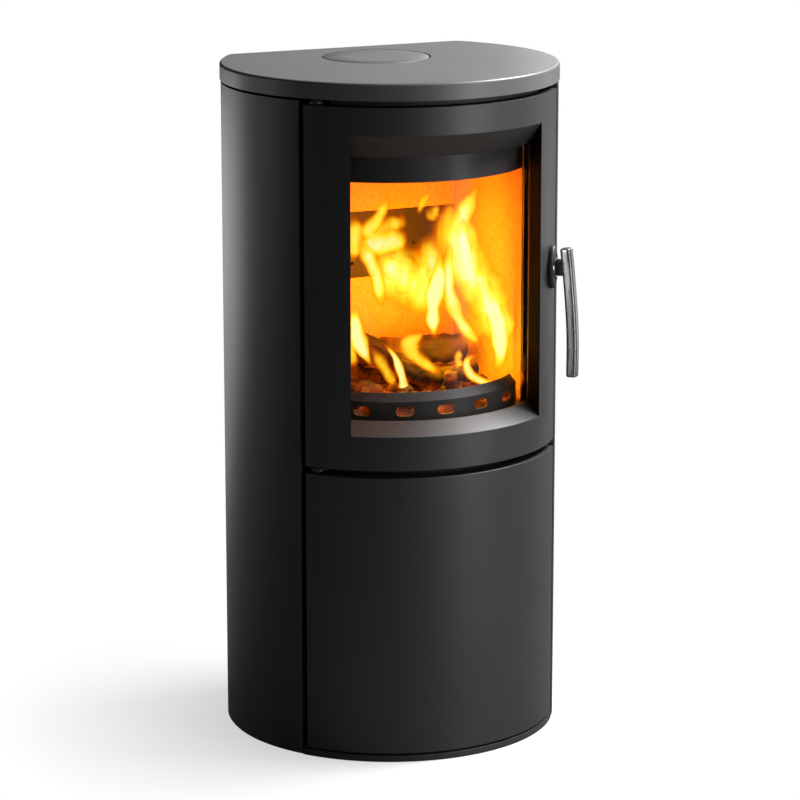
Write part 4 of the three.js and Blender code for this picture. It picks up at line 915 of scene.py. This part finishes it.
# ------------ fire
FIRE_Y = -30  # the plane of the flames cuts the stove's middle plane here, and is turned to the camera
FIRE_TURN = math.radians(CAMERA_TURN_DEG)
FLAME_ROWS, FLAME_COLUMNS = 40, 10
FLAME_SPREAD = 0.66  # half width of a sheet, as a share of the width listed for its tongue
FLAME_SWAY, SWAY_SCALE = 0.35, 0.04  # how unevenly wide a sheet is, and how soon that changes
FLAME_BOW = 0.6  # how far a sheet's middle stands forward, as a share of its half width
FLAME_RIPPLE, RIPPLE_SCALE = 1.5, 5
FADE_AT_FOOT, FADE_AT_TIP = 4.5, 3.2  # how steeply the heat rises from the foot and falls to the tip
FADE_AT_EDGE = 1.3
LOG_STEPS, LOG_SIDES = 24, 28
LOG_END_SIZE, LOG_ROUGHNESS, LOG_SPLIT = 0.55, 0.34, 0.6  # all as shares of a log's radius
LUMP_ROUGHNESS, LUMP_BLOCKINESS = 0.32, 0.6
EMBER_X, EMBER_Y, EMBER_FOOT = (-140, 140), (-150, 78), 496
EMBER_COLUMNS, EMBER_ROWS = 56, 44
LOOSE_LUMPS, LOOSE_X, LOOSE_Y, LOOSE_Z = 110, (-130, 132), (-140, 66), 512
random.seed(7)


def in_fire(across, height, nearer):
    """A point in the plane of the flames, or some distance in front of it."""
    x = across * math.cos(FIRE_TURN) - nearer * math.sin(FIRE_TURN)
    y = FIRE_Y - across * math.sin(FIRE_TURN) - nearer * math.cos(FIRE_TURN)
    return (x, y, height)


def sheet_into(bm, heat, path, widths, nearer, warmth):
    """A bowed, soft-edged sheet of flame along a path, hottest down its middle.

    The heat is kept as the first coordinate of a UV map.
    """
    grid = []
    for i in range(FLAME_ROWS + 1):
        at = i / FLAME_ROWS
        centre, way = curve_point(path, at)
        spot = at * (len(widths) - 1)
        k = min(int(spot), len(widths) - 2)
        width = widths[k] + (widths[k + 1] - widths[k]) * (spot - k)
        sway = noise.noise(Vector((centre.x * SWAY_SCALE, centre.y * SWAY_SCALE, nearer)))
        half = FLAME_SPREAD * width * (1 + FLAME_SWAY * sway)
        fade = min(1, FADE_AT_FOOT * at, FADE_AT_TIP * (1 - at))
        line = []
        for j in range(FLAME_COLUMNS + 1):
            u = 2 * j / FLAME_COLUMNS - 1
            depth = half * FLAME_BOW * (1 - u * u)
            across = half * u + FLAME_RIPPLE * noise.noise(Vector((u, at * RIPPLE_SCALE, nearer)))
            x = centre.x - way.y * across
            z = centre.y + way.x * across
            vert = bm.verts.new(Vector(in_fire(x, z, nearer + depth)) * MM)
            line.append((vert, warmth * fade * (1 - u * u) ** FADE_AT_EDGE))
        grid.append(line)
    for low, high in zip(grid, grid[1:]):
        for j in range(FLAME_COLUMNS):
            corners = (low[j], low[j + 1], high[j + 1], high[j])
            cell = bm.faces.new([vert for vert, _ in corners])
            for loop, (_, warm) in zip(cell.loops, corners):
                loop[heat].uv = (warm, 0)


# Each tongue: the points (across, height) that it rises through, its widths from foot to tip, how far
# it stands in front of the plane of the flames, and its warmth.
TONGUES = [
    ([(138, 533), (150, 568), (147, 608), (133, 643), (115, 678), (98, 711), (87, 741), (86, 766),
      (99, 796), (120, 833)], [20, 30, 50, 66, 76, 72, 62, 56, 44, 12], 6, 1.15),
    ([(142, 536), (151, 566), (149, 605), (139, 638), (124, 671), (108, 703), (97, 735)],
     [10, 18, 24, 24, 22, 18, 6], 22, 1.7),
    ([(118, 640), (112, 675), (102, 712), (94, 748), (99, 782)], [8, 16, 20, 18, 6], 26, 1.5),
    ([(92, 711), (86, 741), (92, 770), (106, 800), (126, 831)], [18, 34, 34, 24, 6], 16, 1.1),
    ([(106, 697), (92, 719), (77, 741), (70, 759), (77, 785), (92, 803)], [9, 25, 29, 25, 21, 6], 0, 0.95),
    ([(131, 577), (106, 601), (86, 631), (76, 664), (73, 697), (76, 726), (74, 755)],
     [8, 18, 23, 21, 20, 17, 5], 24, 1.3),
    ([(54, 592), (51, 623), (53, 656), (60, 693), (63, 741)], [8, 21, 23, 19, 4], 34, 1.7),
    ([(-40, 738), (-10, 702), (22, 676), (48, 672), (72, 700)], [40, 80, 92, 84, 30], -14, 1.05),
    ([(-34, 722), (0, 690), (34, 662), (60, 650)], [20, 44, 50, 16], 4, 1.1),
    ([(30, 622), (32, 655), (40, 689), (52, 725), (58, 760)], [14, 44, 56, 44, 10], -4, 1.05),
    ([(-62, 738), (-32, 737), (-4, 742), (12, 759)], [22, 38, 36, 9], 18, 1.2),
    ([(-52, 737), (-44, 755), (-29, 774), (-20, 792), (-14, 812)], [20, 25, 20, 14, 4], 22, 0.95),
    ([(-57, 748), (-44, 716), (-32, 688), (-27, 658), (-22, 636)], [18, 24, 20, 16, 4], 26, 1.25),
    ([(-45, 752), (-21, 757), (2, 766), (8, 780)], [18, 30, 20, 5], 6, 0.8),
    ([(-35, 545), (-51, 574), (-61, 599), (-65, 625), (-62, 650)], [7, 20, 26, 20, 5], 26, 1.2),
    ([(-65, 545), (-69, 579), (-68, 615)], [12, 20, 6], 20, 0.85),
    ([(0, 500), (8, 526), (3, 553), (-8, 577), (-22, 594)], [10, 13, 11, 8, 2], 60, 1.5),
    ([(-3, 520), (-13, 540), (-29, 565), (-45, 592)], [6, 19, 19, 5], 40, 0.8),
    ([(68, 543), (45, 556), (24, 575), (18, 590), (32, 602), (41, 608)], [8, 16, 24, 26, 16, 4], 44, 1.15),
    ([(149, 533), (123, 534), (104, 548), (103, 566), (123, 576)], [9, 13, 13, 11, 3], 46, 1.2),
    ([(100, 544), (89, 557), (90, 572), (95, 577)], [8, 16, 12, 3], 30, 0.8),
    ([(28, 770), (37, 790), (54, 812)], [8, 17, 3], -24, 0.7),
    ([(46, 760), (52, 775), (63, 790)], [9, 22, 3], -18, 0.85),
    ([(175, 520), (179, 540), (184, 561)], [6, 12, 2], 62, 0.5),
    ([(-71, 697), (-64, 722), (-63, 748), (-70, 770)], [11, 27, 26, 6], -30, 0.9),
    ([(-16, 542), (2, 575), (13, 608), (2, 640)], [16, 48, 50, 12], -10, 0.42),
    ([(92, 566), (112, 601), (118, 638), (111, 676)], [16, 46, 56, 18], -8, 0.8),
]


def flames():
    bm = bmesh.new()
    heat = bm.loops.layers.uv.new(HEAT_MAP)
    for tongue in TONGUES:
        sheet_into(bm, heat, *tongue)
    mesh = bpy.data.meshes.new("flames")
    bm.to_mesh(mesh)
    bm.free()
    return mesh


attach(add_object("flames", flames(), FLAME), "stove_body")


def lump_into(bm, centre, size, stretch, turn):
    """A broken lump of charcoal, between a ball and a block in shape."""
    made = bmesh.ops.create_icosphere(bm, subdivisions=3, radius=1)["verts"]
    spin = Matrix.Rotation(turn, 3, "Z") @ Matrix.Rotation(0.6 * math.sin(turn * 3), 3, "X")
    for vert in made:
        far = max(abs(c) for c in vert.co)
        shape = vert.co.lerp(vert.co / far, LUMP_BLOCKINESS)
        shape *= 1 + LUMP_ROUGHNESS * noise.noise(vert.co * 1.7 + Vector(centre) * 0.05)
        vert.co = (Vector(centre) + spin @ Vector((a * b for a, b in zip(shape, stretch))) * size) * MM


def log_into(bm, start, end, radius):
    """A burnt log: a rough bar with one flat split side."""
    start, end = Vector(start), Vector(end)
    way = (end - start).normalized()
    side = way.cross(Vector((0, 0, 1))).normalized()
    up = side.cross(way)
    rings = []
    for i in range(LOG_STEPS + 1):
        centre = start.lerp(end, i / LOG_STEPS)
        taper = LOG_END_SIZE if i in (0, LOG_STEPS) else 1.0
        ring = []
        for j in range(LOG_SIDES):
            turn = 2 * math.pi * j / LOG_SIDES
            spot = Vector((math.cos(turn) * 2, math.sin(turn) * 2, i * 0.45)) + start * 0.02
            size = radius * taper * (1 + LOG_ROUGHNESS * noise.noise(spot))
            ring.append(centre + (side * math.cos(turn) + up * min(math.sin(turn), LOG_SPLIT)) * size)
        rings.append(add_ring(bm, ring))
    link_solid(bm, rings)


# Each log: the points (across, height, nearer) of its ends, and its radius.
LOGS = [
    ((-96, 590, -34), (64, 527, 20), 22),
    ((-70, 552, -70), (104, 566, -58), 24),
    ((50, 528, -20), (112, 548, 38), 15),
]
# Each broken piece of a log: its (across, height, nearer), size, stretch and turn.
BROKEN = [
    ((-46, 520, 60), 16, (1.5, 0.9, 0.8), 0.3),
    ((78, 536, 44), 12, (1.2, 0.9, 0.9), 1.0),
    ((6, 521, 62), 11, (1.4, 0.8, 0.7), 2.0),
]


def wood():
    bm = bmesh.new()
    for start, end, radius in LOGS:
        log_into(bm, in_fire(*start), in_fire(*end), radius)
    for place, size, stretch, turn in BROKEN:
        lump_into(bm, in_fire(*place), size, stretch, turn)
    return bm


def ember_bed():
    """A low mound of embers on the grate with loose lumps on it."""
    bm = bmesh.new()
    (x0, x1), (y0, y1) = EMBER_X, EMBER_Y
    grid = []
    for j in range(EMBER_ROWS + 1):
        line = []
        for i in range(EMBER_COLUMNS + 1):
            x = x0 + (x1 - x0) * i / EMBER_COLUMNS
            y = y0 + (y1 - y0) * j / EMBER_ROWS
            mound = 1 - max(abs(2 * i / EMBER_COLUMNS - 1), abs(2 * j / EMBER_ROWS - 1)) ** 4
            swells = noise.noise(Vector((x, y, 0)) * 0.035)
            lumps = noise.noise(Vector((x, y, 9)) * 0.13)
            rise = 18 + 16 * swells + 7 * lumps
            line.append(bm.verts.new(Vector((x, y, EMBER_FOOT + mound * rise)) * MM))
        grid.append(line)
    link_rows(bm, grid)
    for _ in range(LOOSE_LUMPS):
        x, y = random.uniform(*LOOSE_X), random.uniform(*LOOSE_Y)
        size = random.uniform(5, 11)
        z = LOOSE_Z + random.uniform(-3, 7)
        lump_into(bm, (x, y, z), size, (1.3, 1, 0.8), random.uniform(0, 6.3))
    return bm


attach(add_object("burning_logs", finished_mesh(wood(), "burning_logs"), CHAR), "stove_body")
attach(add_object("ember_bed", finished_mesh(ember_bed(), "ember_bed"), EMBER), "stove_body")


# ------------ studio
def add_light(kind, name, place, power, color=(1, 1, 1), aim=None, **settings):
    data = bpy.data.lights.new(name, kind)
    data.energy = power
    data.color = color
    for key, value in settings.items():
        setattr(data, key, value)
    made = bpy.data.objects.new(name, data)
    made.location = Vector(place)
    if aim is not None:
        made.rotation_euler = (Vector(aim) - made.location).to_track_quat("-Z", "Y").to_euler()
    bpy.context.scene.collection.objects.link(made)
    return made


def softbox(name, place, size, power, aim):
    return add_light("AREA", name, place, power, aim=aim, shape="RECTANGLE", size=size[0], size_y=size[1])


# Upright softboxes round the stove: azimuth, distance, height, size, power and the height aimed at.
SOFTBOXES = {
    "rear_left_low_strip": (-168, 1.5, 0.15, (0.35, 0.4), 0.8, 0.12),
    "rear_left_strip": (-168, 1.5, 0.55, (0.35, 0.4), 1.5, 0.44),
    "left_strip": (-148, 1.7, 0.5, (0.4, 0.6), 4.2, 0.4),
    "left_fill": (-110, 2.5, 0.8, (0.8, 1.2), 4.3, 0.55),
    "front_fill": (8, 3.0, 0.8, (0.6, 1.4), 3.3, 0.55),
    "front_right_low": (30, 2.4, 0.3, (0.6, 0.5), 8, 0.55),
    "front_right": (30, 2.4, 1.0, (0.6, 0.7), 11, 0.55),
    "right_low": (105, 2.4, 0.3, (0.9, 0.5), 2.5, 0.55),
}
for name, (azimuth, distance, height, size, power, aim_height) in SOFTBOXES.items():
    softbox(name, (*polar(distance, azimuth), height), size, power, (0, 0, aim_height))

# Cards above the stove: place, size, power and the point aimed at.
CARDS = {
    "overhead_right": ((1.3, -0.2, 2.05), (0.6, 0.5), 78, (0, -0.2, 0.55)),
    "overhead_front_right": ((1.2, -0.75, 2.1), (0.6, 0.5), 35, (0, -0.2, 0.55)),
    "top_card_right": ((1.0, 1.0, 1.35), (0.5, 0.4), 1.8, (0, 0, 1)),
    "top_card_rear": ((0.5, 1.6, 1.6), (0.8, 0.5), 1.0, (0, 0, 1)),
}
for name, settings in CARDS.items():
    softbox(name, *settings)

# Cards that shine on the handle alone.
HANDLE_CARDS = {
    "handle_card_right": ((*polar(2.2, 118), 1.12), (0.6, 0.6), 14, (0, 0, 0.75)),
    "handle_card_left": ((-1.12, -0.93, 0.74), (0.3, 0.34), 9, (0.19, -0.2, 0.7)),
}
ON_HANDLE = bpy.data.collections.new("lit_by_the_handle_card")
for name in ("handle_grip_bar", "handle_washer_ring"):
    ON_HANDLE.objects.link(bpy.data.objects[name])
for name, settings in HANDLE_CARDS.items():
    card = softbox(name, *settings)
    card.light_linking.receiver_collection = ON_HANDLE

# The fire's own lamps: place, power and colour. They light every mesh made so far, except those of the
# doors' painted sheets, the side sheets and the handle.
FIRE_LAMPS = {
    "fire_low": (in_fire(60, 580, 30), 3.6, (1.0, 0.34, 0.0)),
    "fire_high": (in_fire(60, 760, 0), 2.6, (1.0, 0.2, 0.0)),
    "fire_left": (in_fire(-40, 690, 10), 1.8, (1.0, 0.24, 0.0)),
}
NOT_LIT = ("fire_door", "lower_door", "side_sheet", "handle")  # how the names of those start
LIT = bpy.data.collections.new("lit_by_the_fire")
for made in list(bpy.context.scene.objects):
    if made.type == "MESH" and not made.name.startswith(NOT_LIT):
        LIT.objects.link(made)
for name, (place, power, color) in FIRE_LAMPS.items():
    lamp = add_light("POINT", name, Vector(place) * MM, power, color, shadow_soft_size=0.05)
    lamp.light_linking.receiver_collection = LIT


PAPER, DIM_PAPER = (0.82, 0.82, 0.82, 1), (0.15, 0.15, 0.15, 1)
SHADOW_REACH = (0.26, 0.6)  # the floor turns from shaded paper to pure white between these distances
UNDER_STOVE = 0.6  # share of pure white up to the nearer one
FLOOR_HALF = 20
DIM_SKY, DIM_SKY_STRENGTH = (0.9, 0.95, 1.0, 1), 0.03


def empty_tree(owner):
    """The node tree of a material or a world, cleared."""
    owner.use_nodes = True
    owner.node_tree.nodes.clear()
    return owner.node_tree


def split_by_ray(tree, dim, shown, out):
    """Gives the camera one shader and every other ray a dim one."""
    path = tree.nodes.new("ShaderNodeLightPath")
    mix = tree.nodes.new("ShaderNodeMixShader")
    tree.links.new(path.outputs["Is Camera Ray"], mix.inputs["Fac"])
    tree.links.new(dim, mix.inputs[1])
    tree.links.new(shown, mix.inputs[2])
    tree.links.new(mix.outputs["Shader"], out.inputs["Surface"])


def floor_material():
    """White paper that keeps the stove's soft shadow and is pure white farther out."""
    material = bpy.data.materials.new("studio_floor")
    tree = empty_tree(material)
    node = tree.nodes.new
    link = tree.links.new
    out = node("ShaderNodeOutputMaterial")
    paper = node("ShaderNodeBsdfDiffuse")
    paper.inputs["Color"].default_value = PAPER
    white = node("ShaderNodeEmission")
    place = node("ShaderNodeTexCoord")
    far = node("ShaderNodeVectorMath")
    far.operation = "LENGTH"
    link(place.outputs["Object"], far.inputs[0])
    share = node("ShaderNodeMapRange")
    share.inputs["From Min"].default_value, share.inputs["From Max"].default_value = SHADOW_REACH
    share.inputs["To Min"].default_value = UNDER_STOVE
    share.inputs["To Max"].default_value = 1.0
    link(far.outputs["Value"], share.inputs["Value"])
    shown = node("ShaderNodeMixShader")
    link(share.outputs["Result"], shown.inputs["Fac"])
    link(paper.outputs["BSDF"], shown.inputs[1])
    link(white.outputs["Emission"], shown.inputs[2])
    dim = node("ShaderNodeBsdfDiffuse")
    dim.inputs["Color"].default_value = DIM_PAPER
    split_by_ray(tree, dim.outputs["BSDF"], shown.outputs["Shader"], out)
    return material


def add_floor():
    bm = bmesh.new()
    corners = [(x * FLOOR_HALF, y * FLOOR_HALF, 0) for x, y in ((-1, -1), (1, -1), (1, 1), (-1, 1))]
    bm.faces.new([bm.verts.new(corner) for corner in corners])
    add_object("studio_floor", finished_mesh(bm, "studio_floor"), floor_material())


def set_world():
    """White to the camera and a dim grey to everything else."""
    world = bpy.data.worlds.new("studio")
    tree = empty_tree(world)
    node = tree.nodes.new
    out = node("ShaderNodeOutputWorld")
    dim = node("ShaderNodeBackground")
    dim.inputs["Color"].default_value = DIM_SKY
    dim.inputs["Strength"].default_value = DIM_SKY_STRENGTH
    white = node("ShaderNodeBackground")
    white.inputs["Color"].default_value = (*WHITE, 1)
    split_by_ray(tree, dim.outputs["Background"], white.outputs["Background"], out)
    bpy.context.scene.world = world


def add_camera():
    data = bpy.data.cameras.new("camera")
    data.lens = LENS
    data.sensor_width = SENSOR_WIDTH
    data.clip_end = 100
    made = bpy.data.objects.new("camera", data)
    made.location = CAMERA_PLACE
    made.rotation_euler = [math.radians(deg) for deg in (CAMERA_TILT_DEG, 0, -CAMERA_TURN_DEG)]
    bpy.context.scene.collection.objects.link(made)
    bpy.context.scene.camera = made


add_floor()
set_world()
add_camera()
bpy.context.scene.view_settings.view_transform = "Standard"
